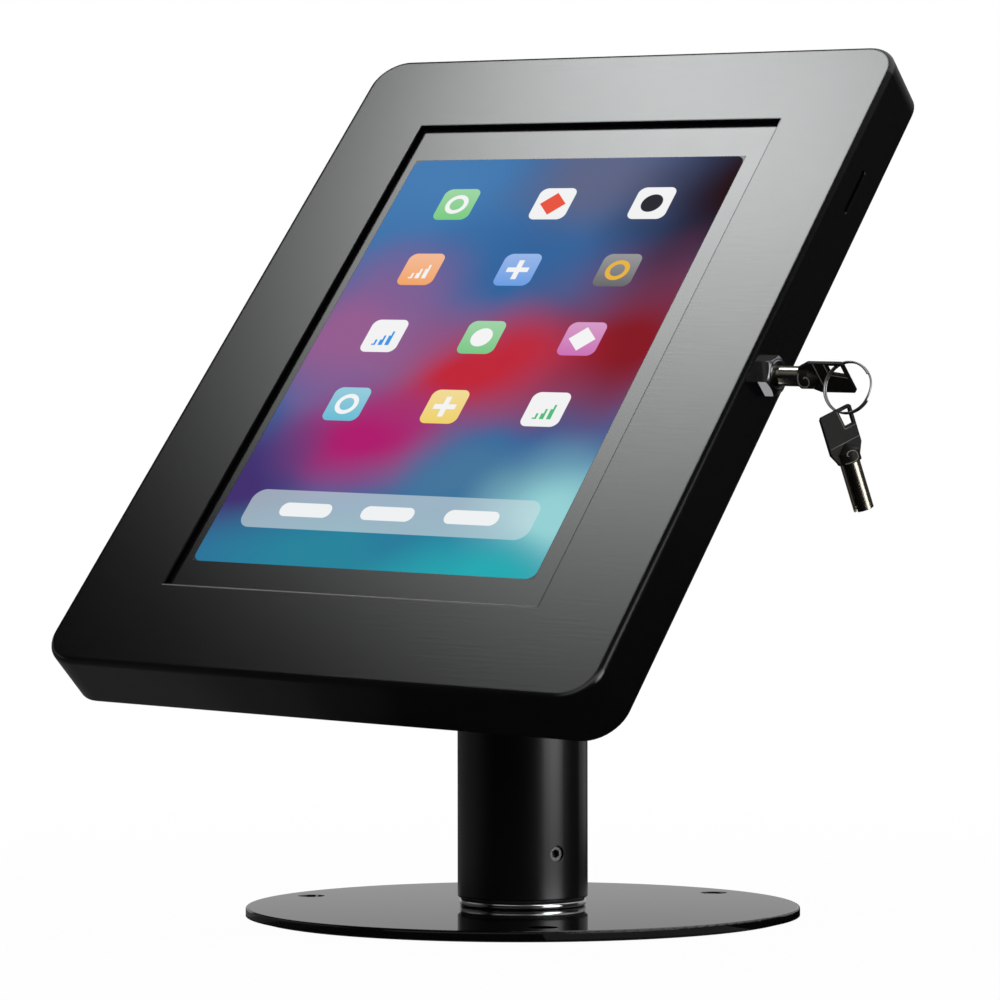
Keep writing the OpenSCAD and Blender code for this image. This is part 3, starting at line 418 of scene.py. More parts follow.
screenPlan = {
    "halfSize": (77.9, 107.2),
    "cornerRadius": 4.0,
    "softEdge": 0.12,
    "glow": 1.0,
    "ground": (0.030, 0.125, 0.330),
    "fields": [
        # middle x, middle y, reach x, reach y, colour
        (-70, 95, 95, 70, (0.060, 0.200, 0.450)),
        (20, 98, 60, 50, (0.110, 0.130, 0.240)),
        (78, 86, 62, 88, (0.016, 0.002, 0.004)),
        (66, 8, 78, 62, (0.230, 0.008, 0.016)),
        (6, -6, 66, 46, (0.520, 0.020, 0.040)),
        (-58, 12, 60, 58, (0.300, 0.110, 0.280)),
        (-30, -40, 64, 34, (0.420, 0.012, 0.150)),
        (-78, -64, 52, 46, (0.055, 0.030, 0.160)),
        (34, -62, 70, 30, (0.060, 0.180, 0.330)),
        (-20, -100, 96, 40, (0.022, 0.230, 0.330)),
        (76, -76, 52, 46, (0.300, 0.640, 0.660)),
        (52, -112, 66, 34, (0.020, 0.400, 0.440)),
    ],
    # where a field begins and where it is full, as parts of its reach
    "fieldEdge": (1.0, 0.12),
    # the fields are pushed about a little so that their borders run unevenly
    "wanderScale": 0.016,
    "wanderDetail": 1.5,
    "wanderReach": 44,
    "tileHalf": 8.6,
    "tileRadius": 3.4,
    "tileLight": (0.95, 0.95, 0.95),
    "tileLightShare": 0.35,
    # where that light begins and is full, as parts of the half tile
    "tileLightSpan": (-3, 2.2),
    "columns": (-46, 0, 46),
    "rows": (82, 46, 10, -26),
    # tile colour, mark colour, mark's shape: 0 disc, 1 ring, 2 bars, 3 diamond, 4 cross
    "tiles": [
        ((0.09, 0.55, 0.13), (0.90, 0.90, 0.90), 1),
        ((0.87, 0.87, 0.88), (0.80, 0.09, 0.05), 3),
        ((0.87, 0.87, 0.88), (0.02, 0.02, 0.03), 0),
        ((0.88, 0.30, 0.03), (0.90, 0.90, 0.90), 2),
        ((0.04, 0.26, 0.75), (0.90, 0.90, 0.90), 4),
        ((0.03, 0.03, 0.04), (0.80, 0.45, 0.05), 1),
        ((0.87, 0.87, 0.88), (0.05, 0.30, 0.80), 2),
        ((0.10, 0.52, 0.15), (0.90, 0.90, 0.90), 0),
        ((0.55, 0.06, 0.40), (0.90, 0.90, 0.90), 3),
        ((0.03, 0.45, 0.62), (0.90, 0.90, 0.90), 1),
        ((0.85, 0.60, 0.04), (0.90, 0.90, 0.90), 4),
        ((0.87, 0.87, 0.88), (0.08, 0.50, 0.20), 2),
    ],
    # shelf with pegs: height of its middle, then half width, half height and corner radius
    "shelfUp": -80,
    "shelfSize": (66, 9.5, 5.5),
    "shelfColour": (0.62, 0.74, 0.78),
    "shelfShare": 0.5,
    "pegs": (-38, 0, 38),
    "pegSize": (12, 3.4, 3.2),
    "pegColour": (0.86, 0.88, 0.89),
    # the panel itself, under its picture and at its dark border
    "litBase": (0.001, 0.001, 0.001),
    "borderBase": (0.0080, 0.0074, 0.0088),
    "cloudSize": 30.0,
    "rough": (0.16, 0.22),
    "ior": 1.03,
    "coatIor": 1.62,
    "coatRough": 0.3,
}

# marks on the tiles, in millimetres; a pair is where an edge begins and ends
markPlan = {
    "disc": (4.9, 4.6),
    "ringRadius": 4.2,
    "ringHalf": (1.15, 0.9),
    "diamond": (6.2, 5.9),
    "crossArm": (1.35, 1.1),
    "crossReach": (5.2, 4.95),
    "barPitch": 3.2,
    "barGap": (0.5, 0.75),
    "barRise": 2.2,
    "barLow": -4.2,
    "barsHalf": (4.9, 4.7),
    "barsFoot": (-5.0, -4.8),
    # how far off a tile's shape number may be
    "shapeMargin": 0.25,
}


def makeScreenPlane(plan):
    # millimetres across and up the screen, from its middle
    tree, _, out = newGroup("screenPlane", [], [("Across", "Float"), ("Up", "Float")])
    middle = Vector((plan["screenAcross"], plan["screenUp"], plan["glassRise"]))
    coords = addNode(tree, "TexCoord", -800, 0)
    moved = addNode(tree, "VectorMath", -600, 0, operation="SUBTRACT")
    moved.inputs[1].default_value = caseFrame @ (middle * mm)
    joinUp(tree, coords.outputs["Object"], moved.inputs[0])
    for label, column, y in (("Across", 0, 120), ("Up", 1, -120)):
        reach = dotNode(tree, -380, y, moved.outputs[0], caseFrame.to_3x3().col[column])
        joinUp(tree, mathNode(tree, "MULTIPLY", -160, y, reach, 1 / mm), out[label])
    return tree


def hypotenuse(tree, x, y, first, second):
    squared = mathNode(tree, "MULTIPLY", x - 280, y - 140, first, first)
    both = mathNode(tree, "MULTIPLY_ADD", x - 160, y, second, second, squared)
    return mathNode(tree, "SQRT", x, y, both)


def roundedMask(tree, x, y, across, up, halfX, halfY, radius):
    # 1 inside a rectangle with round corners, 0 outside
    over = []
    for k, (value, half) in enumerate(((across, halfX), (up, halfY))):
        low = y - 160 * k
        size = mathNode(tree, "ABSOLUTE", x - 160, low, value)
        past = mathNode(tree, "SUBTRACT", x, low, size, half - radius)
        over.append(mathNode(tree, "MAXIMUM", x + 160, low, past, 0))
    soft = screenPlan["softEdge"]
    return softStep(tree, x + 800, y, hypotenuse(tree, x + 640, y, *over), radius + soft, radius - soft)


def makeColourField(plan):
    # one soft patch of colour laid over what is under it
    tree, given, out = newGroup(
        "colourField",
        [("Under", "Color", (0, 0, 0, 1)), ("Colour", "Color", (0, 0, 0, 1)), ("Across", "Float", 0.0),
         ("Up", "Float", 0.0), ("MiddleX", "Float", 0.0), ("MiddleY", "Float", 0.0),
         ("ReachX", "Float", 50.0), ("ReachY", "Float", 50.0)],
        [("Colour", "Color")],
    )
    shares = []
    for value, letter, y in (("Up", "Y", -100), ("Across", "X", 100)):
        off = mathNode(tree, "SUBTRACT", -660, y, given[value], given["Middle" + letter])
        shares.append(mathNode(tree, "DIVIDE", -480, y, off, given["Reach" + letter]))
    share = softStep(tree, 80, 0, hypotenuse(tree, -100, 0, *shares), *plan["fieldEdge"])
    joinUp(tree, blendColour(tree, 320, 0, share, given["Under"], given["Colour"]), out["Colour"])
    return tree


def makeBars(tree, x, y, absX, plan, soft):
    # bars that rise to the right
    pitch = plan["barPitch"]
    moved = mathNode(tree, "ADD", -760, -480, x, 1.5 * pitch)
    band = mathNode(tree, "PINGPONG", -600, -480, moved, pitch / 2)
    along = mathNode(tree, "DIVIDE", -760, -640, mathNode(tree, "ADD", -880, -640, x, 2 * pitch), pitch)
    step = mathNode(tree, "FLOOR", -600, -640, along)
    top = mathNode(tree, "MULTIPLY_ADD", -440, -640, step, plan["barRise"], plan["barLow"])
    bars = softStep(tree, -400, -480, band, *plan["barGap"])
    bounds = (
        softStep(tree, -260, -640, mathNode(tree, "SUBTRACT", -300, -720, y, top), soft, -soft),
        softStep(tree, -300, -860, absX, *plan["barsHalf"]),
        softStep(tree, -300, -1000, y, *plan["barsFoot"]),
    )
    for k, bound in enumerate(bounds):
        bars = mathNode(tree, "MULTIPLY", -140 + 120 * k, -480, bars, bound)
    return bars


def makeScreenTile(plan, marks):
    # one plain tile with a simple mark, laid over what is under it
    half = plan["tileHalf"]
    tree, given, out = newGroup(
        "screenTile",
        [("Under", "Color", (0, 0, 0, 1)), ("Tile", "Color", (1, 1, 1, 1)), ("Mark", "Color", (0, 0, 0, 1)),
         ("Shape", "Float", 0.0), ("Across", "Float", 0.0), ("Up", "Float", 0.0),
         ("MiddleX", "Float", 0.0), ("MiddleY", "Float", 0.0)],
        [("Colour", "Color")],
    )
    x = mathNode(tree, "SUBTRACT", -1200, 300, given["Across"], given["MiddleX"])
    y = mathNode(tree, "SUBTRACT", -1200, 100, given["Up"], given["MiddleY"])
    tile = roundedMask(tree, -900, 900, x, y, half, half, plan["tileRadius"])
    absX = mathNode(tree, "ABSOLUTE", -1000, 300, x)
    absY = mathNode(tree, "ABSOLUTE", -1000, 100, y)
    reach = hypotenuse(tree, -600, 300, y, x)
    disc = softStep(tree, -400, 400, reach, *marks["disc"])
    offRing = mathNode(tree, "SUBTRACT", -500, 200, reach, marks["ringRadius"])
    ring = softStep(tree, -240, 200, mathNode(tree, "ABSOLUTE", -400, 200, offRing), *marks["ringHalf"])
    diamond = softStep(tree, -400, 0, mathNode(tree, "ADD", -600, 0, absX, absY), *marks["diamond"])
    lesser = mathNode(tree, "MINIMUM", -600, -160, absX, absY)
    larger = mathNode(tree, "MAXIMUM", -600, -320, absX, absY)
    thin = softStep(tree, -400, -160, lesser, *marks["crossArm"])
    wide = softStep(tree, -400, -320, larger, *marks["crossReach"])
    cross = mathNode(tree, "MULTIPLY", -200, -200, thin, wide)
    bars = makeBars(tree, x, y, absX, marks, plan["softEdge"])
    shown = 0
    for index, mask in enumerate((disc, ring, bars, diamond, cross)):
        low = 400 - 200 * index
        chosen = mathNode(tree, "COMPARE", 100, low, given["Shape"], index, marks["shapeMargin"])
        shown = mathNode(tree, "MULTIPLY_ADD", 260, low, chosen, mask, shown)
    shading = softStep(tree, 260, 900, y, *[part * half for part in plan["tileLightSpan"]])
    share = mathNode(tree, "MULTIPLY", 380, 760, shading, plan["tileLightShare"])
    lit = blendColour(tree, 440, 900, share, given["Tile"], plan["tileLight"])
    face = blendColour(tree, 600, 500, shown, lit, given["Mark"])
    joinUp(tree, blendColour(tree, 760, 300, tile, given["Under"], face), out["Colour"])
    return tree


def layOver(tree, group, x, spot, picture, **values):
    # one field or tile over the picture so far
    made = placeGroup(tree, group, x, 400, **values)
    joinUp(tree, spot[0], made.inputs["Across"])
    joinUp(tree, spot[1], made.inputs["Up"])
    feed(tree, picture, made.inputs["Under"])
    return made.outputs["Colour"]


def makeScreen(plan):
    material, tree = newMaterial("screenPicture")
    shader = tree.nodes["Principled BSDF"]
    plane = placeGroup(tree, makeScreenPlane(standPlan), -2400, 0)
    across, up = plane.outputs["Across"], plane.outputs["Up"]
    packed = addNode(tree, "CombineXYZ", -2200, 300)
    joinUp(tree, across, packed.inputs[0])
    joinUp(tree, up, packed.inputs[1])
    wander = noiseNode(tree, -2040, 300, packed.outputs[0], plan["wanderScale"], plan["wanderDetail"])
    parted = addNode(tree, "SeparateColor", -1880, 300)
    joinUp(tree, wander.outputs["Color"], parted.inputs[0])
    push = plan["wanderReach"]
    bent = []
    for k, value in enumerate((across, up)):
        low = mathNode(tree, "SUBTRACT", -1860, 120 - 120 * k, value, push / 2)
        bent.append(mathNode(tree, "MULTIPLY_ADD", -1700, 300 - 180 * k, parted.outputs[k], push, low))
    field = makeColourField(plan)
    picture = plan["ground"]
    for k, (x, y, reachX, reachY, colour) in enumerate(plan["fields"]):
        picture = layOver(tree, field, -1500 + 180 * k, bent, picture, MiddleX=x, MiddleY=y,
                          ReachX=reachX, ReachY=reachY, Colour=(*colour, 1))
    shelfUp = mathNode(tree, "SUBTRACT", -1500, -300, up, plan["shelfUp"])
    shelf = roundedMask(tree, -1200, -300, across, shelfUp, *plan["shelfSize"])
    share = mathNode(tree, "MULTIPLY", 500, 0, shelf, plan["shelfShare"])
    picture = blendColour(tree, 700, 200, share, picture, plan["shelfColour"])
    for k, x in enumerate(plan["pegs"]):
        pegX = mathNode(tree, "SUBTRACT", -1500, -500 - 120 * k, across, x)
        peg = roundedMask(tree, -1200, -700 - 360 * k, pegX, shelfUp, *plan["pegSize"])
        picture = blendColour(tree, 860 + 160 * k, 200, peg, picture, plan["pegColour"])
    tile = makeScreenTile(plan, markPlan)
    columns = len(plan["columns"])
    for k, (face, mark, shape) in enumerate(plan["tiles"]):
        picture = layOver(tree, tile, 1400 + 180 * k, (across, up), picture, Shape=shape,
                          Tile=(*face, 1), Mark=(*mark, 1), MiddleX=plan["columns"][k % columns],
                          MiddleY=plan["rows"][k // columns])
    lit = roundedMask(tree, 2400, -300, across, up, *plan["halfSize"], plan["cornerRadius"])
    picture = blendColour(tree, 3700, 300, lit, (0.0, 0.0, 0.0), picture)
    base = blendColour(tree, 3700, 0, lit, plan["borderBase"], plan["litBase"])
    cloud = placeGroup(tree, handlingMarks, 3400, -200, Size=plan["cloudSize"]).outputs["Cloud"]
    joinUp(tree, picture, shader.inputs["Emission Color"])
    joinUp(tree, base, shader.inputs["Base Color"])
    joinUp(tree, spread(tree, 3600, -200, cloud, *plan["rough"]), shader.inputs["Roughness"])
    joinUp(tree, mathNode(tree, "SUBTRACT", 3600, -420, 1.0, lit), shader.inputs["Coat Weight"])
    shader.inputs["Emission Strength"].default_value = plan["glow"]
    shader.inputs["IOR"].default_value = plan["ior"]
    shader.inputs["Coat IOR"].default_value = plan["coatIor"]
    shader.inputs["Coat Roughness"].default_value = plan["coatRough"]
    shader.location = (3950, 200)
    tree.nodes["Material Output"].location = (4250, 200)
    return material


screenPicture = makeScreen(screenPlan)
print("screen picture made with", len(screenPlan["tiles"]), "tiles")


# Which finish each solid part takes

partFinish = {
    "glossBlack": ["base_plate"],
    "satinBlack": ["post_tube"],
    "trayBlack": ["post_head", "tilt_knuckle", "back_tray"],
    "caseBlack": ["front_cover"],
    "rubber": ["base_pad", "cable_grommet", "window_seal", "swivel_washer"],
    "foam": ["foam_pads"],
    "chrome": ["base_hub"],
    "darkSteel": ["post_set_screw", "post_head_screws", "tilt_bolt", "tilt_nut", "bracket_screws",
                  "tray_hinge_leaves", "cover_hinge_leaves", "hub_screws"],
    "plainSteel": ["stop_pin", "pivot_washer", "pivot_nut", "lock_catch", "lock_cam", "cam_screw",
                   "hinge_pins"],
    "nylon": ["tilt_washers", "turn_washer"],
    "bracketPlastic": ["tablet_brackets"],
    "tabletShell": ["tablet_body"],
    "tabletGlass": ["tablet_glass"],
    "lockNickel": ["lock_collar", "lock_barrel", "lock_nut", "lock_core"],
    "keyNickel": ["key_tube", "spare_key_tube"],
    "keyBlack": ["key_bow", "spare_key_bow"],
    "ringNickel": ["key_ring"],
}


def dressPart(part, material):
    part.data.materials.clear()
    part.data.materials.append(material)


for finishName, names in partFinish.items():
    for partName in names:
        dressPart(parts[partName], finishes[finishName])
dressPart(parts["tablet_display"], screenPicture)
dressed = {"tablet_display"}.union(*partFinish.values())
print("solid parts without a finish:", [name for name in parts if name not in dressed])


# Split ring: one wire, two turns side by side, with a crossing between them

ringPlan = {
    "outerDiameter": 19.6,
    "wireDiameter": 0.8,
    "pitch": 1.25,
    "startAngle": 30,
    "endAngle": 690,
    "crossStart": 330,
    "crossLength": 60,
    "lean": 8,
    "reachPastKey": 1.4,
    "step": 3,
    "sides": 16,
    # degrees from a cut end, and the wire's size there, so that the ends are slightly rounded
    "endTaper": [(0, 0.72), (0.6, 0.94)],
}

keyPlan = {
    "length": 38.0,
    "bowWidth": 15.6,
    "bowThickness": 1.2,
    "rimWidth": 1.2,
    "neckStart": 18.4,
    "bowStart": 23.4,
    "eyeLength": 5.8,
    "eyeWidth": 5.4,
    "eyeLow": 4.2,
    "sleeveRadius": 4.55,
    "freeGap": 0.3,
    "spareLean": 22,
    "spareTurn": -111,
    # lines on the bow: how far they end from its sides, and how the one at the eye bends and runs on
    "lineRadius": 0.2,
    "lineInset": 0.35,
    "lineGap": 0.9,
    "lineStart": 0.7,
    "lineBend": (0.7, 0.3),
    "lineTop": 0.5,
    # cone between sleeve and bow
    "coneLead": 1,
    "coneSlope": 1.32,
    "coneReach": 2.2,
    "crimpRadius": 0.26,
    # how far along the sleeve, and how far round it
    "crimpPath": [(0.5, 62), (0.4, 45), (0.4, 25), (0.6, 5), (1.2, -8), (2.2, -10), (3.3, -8), (4.2, 2),
                  (4.5, 18), (4.4, 32), (3.9, 42), (3.2, 43), (2.8, 36)],
}


def ringMiddleLine():
    return ringPlan["outerDiameter"] / 2 - ringPlan["wireDiameter"] / 2


def hangingFrames():
    # the ring hangs from the rim at the end of the first key, and the spare key hangs in the ring
    lean = math.radians(90 - standPlan["faceLean"] + ringPlan["lean"])
    wire = ringPlan["wireDiameter"] / 2
    band = ringPlan["pitch"] / 2 + wire
    thick = keyPlan["bowThickness"] / 2
    eyeX = keyPlan["rimWidth"] - keyPlan["bowWidth"] / 2
    eyeZ = keyPlan["length"] - keyPlan["rimWidth"]
    hangX = eyeX + band / math.sin(lean) + thick / math.tan(lean) + keyPlan["freeGap"]
    hangZ = keyPlan["length"] + ringPlan["reachPastKey"]
    inner = ringMiddleLine() - wire
    drop = math.sqrt(inner ** 2 - (keyPlan["rimWidth"] + ringPlan["reachPastKey"]) ** 2)
    drop -= thick / math.sin(lean) + band / math.tan(lean) + keyPlan["freeGap"]
    hangPoint = keyFrame @ Vector((hangX * mm, 0, hangZ * mm))
    across = caseFrame.to_3x3().col[0]
    ringTurn = math.degrees(math.atan2(across.y, across.x))
    ring = Matrix.Translation(hangPoint) @ turn(ringTurn, "Z") @ turn(-ringPlan["lean"], "X")
    ring = ring @ shift(0, 0, -drop)
    inset = band + 2 * keyPlan["freeGap"]
    spare = ring @ shift(0, 0, -ringMiddleLine()) @ turn(ringPlan["lean"], "X")
    spare = spare @ turn(keyPlan["spareTurn"] - ringTurn, "Z") @ turn(keyPlan["spareLean"], "Y")
    return ring, spare @ shift(-eyeX - inset, 0, -eyeZ + inset)


ringFrame, spareKeyFrame = hangingFrames()


def smooth(t):
    t = min(max(t, 0), 1)
    return t * t * (3 - 2 * t)


def makeKeyRing(plan):
    line = ringMiddleLine()
    wire = plan["wireDiameter"] / 2
    verts = []
    faces = []
    start, end, step = plan["startAngle"], plan["endAngle"], plan["step"]
    angles = [(start + past, size) for past, size in plan["endTaper"]]
    angles += [(a, 1.0) for a in range(start + step, end, step)]
    angles += [(end - past, size) for past, size in reversed(plan["endTaper"])]
    sides = plan["sides"]
    for degrees, size in angles:
        rise = plan["pitch"] * (smooth((degrees - plan["crossStart"]) / plan["crossLength"]) - 0.5)
        angle = math.radians(degrees)
        for k in range(sides):
            around = 2 * math.pi * k / sides
            out = line + wire * size * math.cos(around)
            side = rise + wire * size * math.sin(around)
            point = Vector((out * math.cos(angle), side, out * math.sin(angle)))
            verts.append(ringFrame @ (point * mm))
    for i in range(len(angles) - 1):
        for k in range(sides):
            a = i * sides + k
            b = i * sides + (k + 1) % sides
            faces.append((a, b, b + sides, a + sides))
    last = (len(angles) - 1) * sides
    faces.append(tuple(reversed(range(sides))))
    faces.append(tuple(range(last, last + sides)))
    piece = newPiece("keyRing", verts, faces, "ring", finishes["ringNickel"])
    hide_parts("key_ring")


makeKeyRing(ringPlan)
print("split ring made")


# Painted highlight along the lower edge of the window, where the sheet was cut: a thin pale grey bead

highlightBeadPlan = {
    "halfWidth": 85.15,
    "halfHeight": 123.3,
    "faceRise": 45.3,
    "radius": 0.34,
    "inset": 0.16,
    "steps": 4,
}


def makeWindowHighlightBead(plan):
    verts = []
    faces = []
    low = -plan["halfHeight"] - plan["inset"]
    rise = plan["faceRise"] - plan["inset"]
    steps = plan["steps"]
    points = [Vector((plan["halfWidth"] * (2 * k / steps - 1), low, rise)) for k in range(steps + 1)]
    beadAlong(verts, faces, points, plan["radius"])
    placedVerts = [caseFrame @ (v * mm) for v in verts]
    # the bead's pale grey on the black case is a painted highlight
    newPiece("windowHighlightBead", placedVerts, faces, "cover", finishes["paintedHighlightGrey"])


makeWindowHighlightBead(highlightBeadPlan)
print("window lip made")


# Trim on each key: a line across the bow, a line along the eye, and the curled crimp on the sleeve

def makeKeyTrim(name, placed, body, plan):
    verts = []
    faces = []
    half = plan["bowWidth"] / 2
    gap = plan["lineGap"]
    bendX, bendZ = plan["lineBend"]
    eyeX = plan["rimWidth"] - half
    eyeZ = plan["length"] - plan["rimWidth"]
    low = eyeZ - plan["eyeLength"] - gap
    turnX = eyeX + plan["eyeLow"]
    border = [(eyeX - plan["lineStart"], low), (turnX, low), (turnX + gap * bendX, low + gap * bendZ),
              (turnX + gap, low + gap), (eyeX + plan["eyeWidth"] + gap, eyeZ + plan["lineTop"])]
    acrossZ = plan["bowStart"] + plan["coneReach"]
    across = [(x, acrossZ) for x in (plan["lineInset"] - half, half - plan["lineInset"])]
    for side in (-1, 1):
        y = side * plan["bowThickness"] / 2
        for line in (across, border):
            beadAlong(verts, faces, [Vector((x, y, z)) for x, z in line], plan["lineRadius"])
        crimp = []
        for reach, swing in plan["crimpPath"]:
            z = plan["neckStart"] + reach
            r = plan["sleeveRadius"] - max(0, z - plan["bowStart"] + plan["coneLead"]) * plan["coneSlope"]
            angle = math.radians(swing)
            crimp.append(Vector((side * r * math.sin(angle), side * r * math.cos(angle), z)))
        beadAlong(verts, faces, crimp, plan["crimpRadius"])
    placedVerts = [placed @ (v * mm) for v in verts]
    newPiece(name, placedVerts, faces, body, finishes["keyLine"])


makeKeyTrim("keyTrim", keyFrame, "key", keyPlan)
makeKeyTrim("spareKeyTrim", spareKeyFrame, "spare_key", keyPlan)
print("key trim made")


# Floor, light and camera, in metres and degrees

studioPlan = {
    "floorSize": 14.0,
    "floorColour": (0.92, 0.92, 0.92),
    "floorRough": 0.9,
    # the floor's share of plain white near the object, and the distances over which it rises to all
    "floorWhite": 0.975,
    "shadowReach": (0.16, 1.1),
    "ambient": 0.55,
    # soft overhead panel: where it is full, as parts of its half sizes, and its turn in radians
    "panelPlace": (-1.001, -0.027, 2.291),
    "panelAim": (0.0, -0.03, 0.22),
    "panelHalf": (0.361, 0.736),
    "panelFall": (0.424, -0.5),
    "panelTurn": 0.748,
    "panelGlow": 12.4,
    "panelColour": (0.972, 1.0, 0.998),
    "lampPower": 2.0,
    "lampSize": 1.4,
    # dark tent that only reflections see
    "tentRadius": 3.4,
    "tentFoot": -0.2,
    "tentStep": 10,
    "tentColumns": 96,
    "tentBlack": 0.002,
    # soft sky in the tent: brightness, heights where it begins and is full, and the dark round the panel
    "skyGlow": 0.9,
    "skyRise": (8, 45),
    "skyGap": (20, 36),
    "skyGapWay": (-77, 57),
    # dark bands that the case's bends mirror: each bend's way in the case and the band's place along it
    "skyBands": [((0, 1, 0), 0.53), ((1, 0, 0), -0.557)],
    # half width of a band to where the sky begins and to where it is full
    "skyBandWidth": (0.12, 0.22),
    "clothHeight": 0.0004,
    # cards that only reflections see: distance, from angle, to angle, foot, top, brightness
    "cards": {
        "backCard": (3.3, 183, 242, -0.1, 0.85, 0.51),
        "wallCard": (3.2, 128, 160, -0.1, 0.60, 0.025),
        "stripCard": (1.25, 70, 103, -0.1, 0.5, 3.9),
        "highCard": (1.25, 56, 95, 0.5, 1.05, 2.1),
        "highBackCard": (3.3, 186, 238, 0.95, 2.9, 0.75),
        "edgeCard": (0.42, 152, 182, 0.0, 0.17, 0.33),
        "leftCard": (0.62, -112, -76, 0.0, 0.20, 0.085),
        "leftFaintCard": (0.62, -76, -56, 0.0, 0.20, 0.075),
        "leftFaintestCard": (0.62, -56, -36, 0.0, 0.20, 0.045),
    },
    # the back card darkens upwards: heights where that begins and ends, and what is left there
    "backFade": (0.25, 0.36, 0.72),
    # away from the case's middle, then down and out from the lock, and brightness
    "lockCard": (0.1242, 0.0069, 0.0135, -0.010, 0.004, 1.25),
    # cloths on the floor that only reflections see: from angle, to angle, inner and outer reach, brightness
    "cloths": {
        "paleCloth": (195, 308, 0.109, 1.0, 0.11),
        "greyCloth": (308, 322, 0.109, 1.0, 0.06),
        "dimCloth": (322, 338, 0.109, 1.0, 0.02),
        "edgeCloth": (36, 85, 0.109, 0.135, 0.22),
    },
}


def whiteToRays(tree, x, y):
    # 1 for what the camera sees directly, in reflections and through glass
    path = addNode(tree, "LightPath", x, y).outputs
    seen = mathNode(tree, "MAXIMUM", x + 200, y, path["Is Camera Ray"], path["Is Glossy Ray"])
    return mathNode(tree, "MAXIMUM", x + 380, y, seen, path["Is Transmission Ray"])


def makeWorld(plan):
    world = bpy.data.worlds.new("paleStudio")
    world.use_nodes = True
    bpy.context.scene.world = world
    tree = world.node_tree
    tree.nodes.clear()
    whites = []
    for y, strength in ((-100, plan["ambient"]), (100, 1)):
        white = addNode(tree, "Background", 0, y)
        white.inputs["Color"].default_value = (1, 1, 1, 1)
        white.inputs["Strength"].default_value = strength
        whites.append(white)
    mixed = mixShaders(tree, 240, whiteToRays(tree, -600, 0), *whites)
    joinUp(tree, mixed, addNode(tree, "OutputWorld", 460, 0).inputs[0])


def rectangle(halfX, halfY):
    return [(-halfX, -halfY, 0), (halfX, -halfY, 0), (halfX, halfY, 0), (-halfX, halfY, 0)]


def makeFloor(plan):
    material, tree = newMaterial("paleFloor")
    shader = tree.nodes["Principled BSDF"]
    shader.inputs["Base Color"].default_value = (*plan["floorColour"], 1)
    shader.inputs["Roughness"].default_value = plan["floorRough"]
    glow = addNode(tree, "Emission", 0, -300)
    # white far off, while the object's own shadow stays near it
    spot = addNode(tree, "NewGeometry", -800, 600)
    reach = addNode(tree, "VectorMath", -600, 600, operation="LENGTH")
    joinUp(tree, spot.outputs["Position"], reach.inputs[0])
    white = softStep(tree, -300, 600, reach.outputs["Value"], *plan["shadowReach"], plan["floorWhite"])
    share = mathNode(tree, "MULTIPLY", 140, 300, whiteToRays(tree, -500, 300), white)
    joinUp(tree, mixShaders(tree, 320, share, shader, glow), tree.nodes["Material Output"].inputs[0])
    half = plan["floorSize"] / 2
    floor = newMesh("floor", rectangle(half, half), [(0, 1, 2, 3)], material)


def aimed(place, aim, roll=0.0):
    # light's own axes: it shines along its -Z
    beam = (Vector(aim) - Vector(place)).normalized()
    side = Vector((0, 1, 0)).cross(beam).normalized()
    up = beam.cross(side)
    side, up = math.cos(roll) * side + math.sin(roll) * up, math.cos(roll) * up - math.sin(roll) * side
    return Matrix.LocRotScale(Vector(place), Matrix((-side, up, -beam)).transposed(), None)


def makePanel(plan):
    # soft light whose brightness falls away smoothly towards its edges
    halfX, halfY = plan["panelHalf"]
    material, tree = newMaterial("overheadPanel")
    coords = addNode(tree, "TexCoord", -900, 0)
    apart = addNode(tree, "SeparateXYZ", -720, 0)
    joinUp(tree, coords.outputs["Object"], apart.inputs[0])
    fades = []
    for axis, half, fall in ((0, halfX, plan["panelFall"][0]), (1, halfY, plan["panelFall"][1])):
        reach = mathNode(tree, "ABSOLUTE", -540, -200 * axis, apart.outputs[axis])
        fades.append(softStep(tree, -360, -200 * axis, reach, half, half * fall))
    fade = mathNode(tree, "MULTIPLY", -160, 0, fades[0], fades[1])
    glow = addNode(tree, "Emission", 200, 0)
    joinUp(tree, mathNode(tree, "MULTIPLY", 20, 0, fade, plan["panelGlow"]), glow.inputs["Strength"])
    glow.inputs["Color"].default_value = (*plan["panelColour"], 1)
    joinUp(tree, glow.outputs[0], tree.nodes["Material Output"].inputs[0])
    panel = newMesh("overheadPanel", rectangle(halfX, halfY), [(0, 1, 2, 3)], material)
    panel.matrix_world = aimed(plan["panelPlace"], plan["panelAim"], plan["panelTurn"])
    panel.visible_camera = False
    # a weak lamp over the panel softens the floor's shadow, and no reflection shows it
    lamp = bpy.data.objects.new("overheadLamp", bpy.data.lights.new("overheadLamp", "AREA"))
    lamp.data.size = plan["lampSize"]
    lamp.data.energy = plan["lampPower"]
    lamp.matrix_world = aimed(plan["panelPlace"], plan["panelAim"])
    lamp.visible_glossy = False
    lamp.visible_camera = False
    bpy.context.scene.collection.objects.link(lamp)


def ringBand(rings, start, end, columns=48):
    # a band through rings of radius and height, between two angles
    verts = []
    faces = []
    for radius, height in rings:
        for k in range(columns + 1):
            angle = math.radians(start + (end - start) * k / columns)
            verts.append((radius * math.sin(angle), -radius * math.cos(angle), height))
    row = columns + 1
    for i in range(len(rings) - 1):
        for k in range(columns):
            a = i * row + k
            faces.append((a, a + 1, a + row + 1, a + row))
    return verts, faces


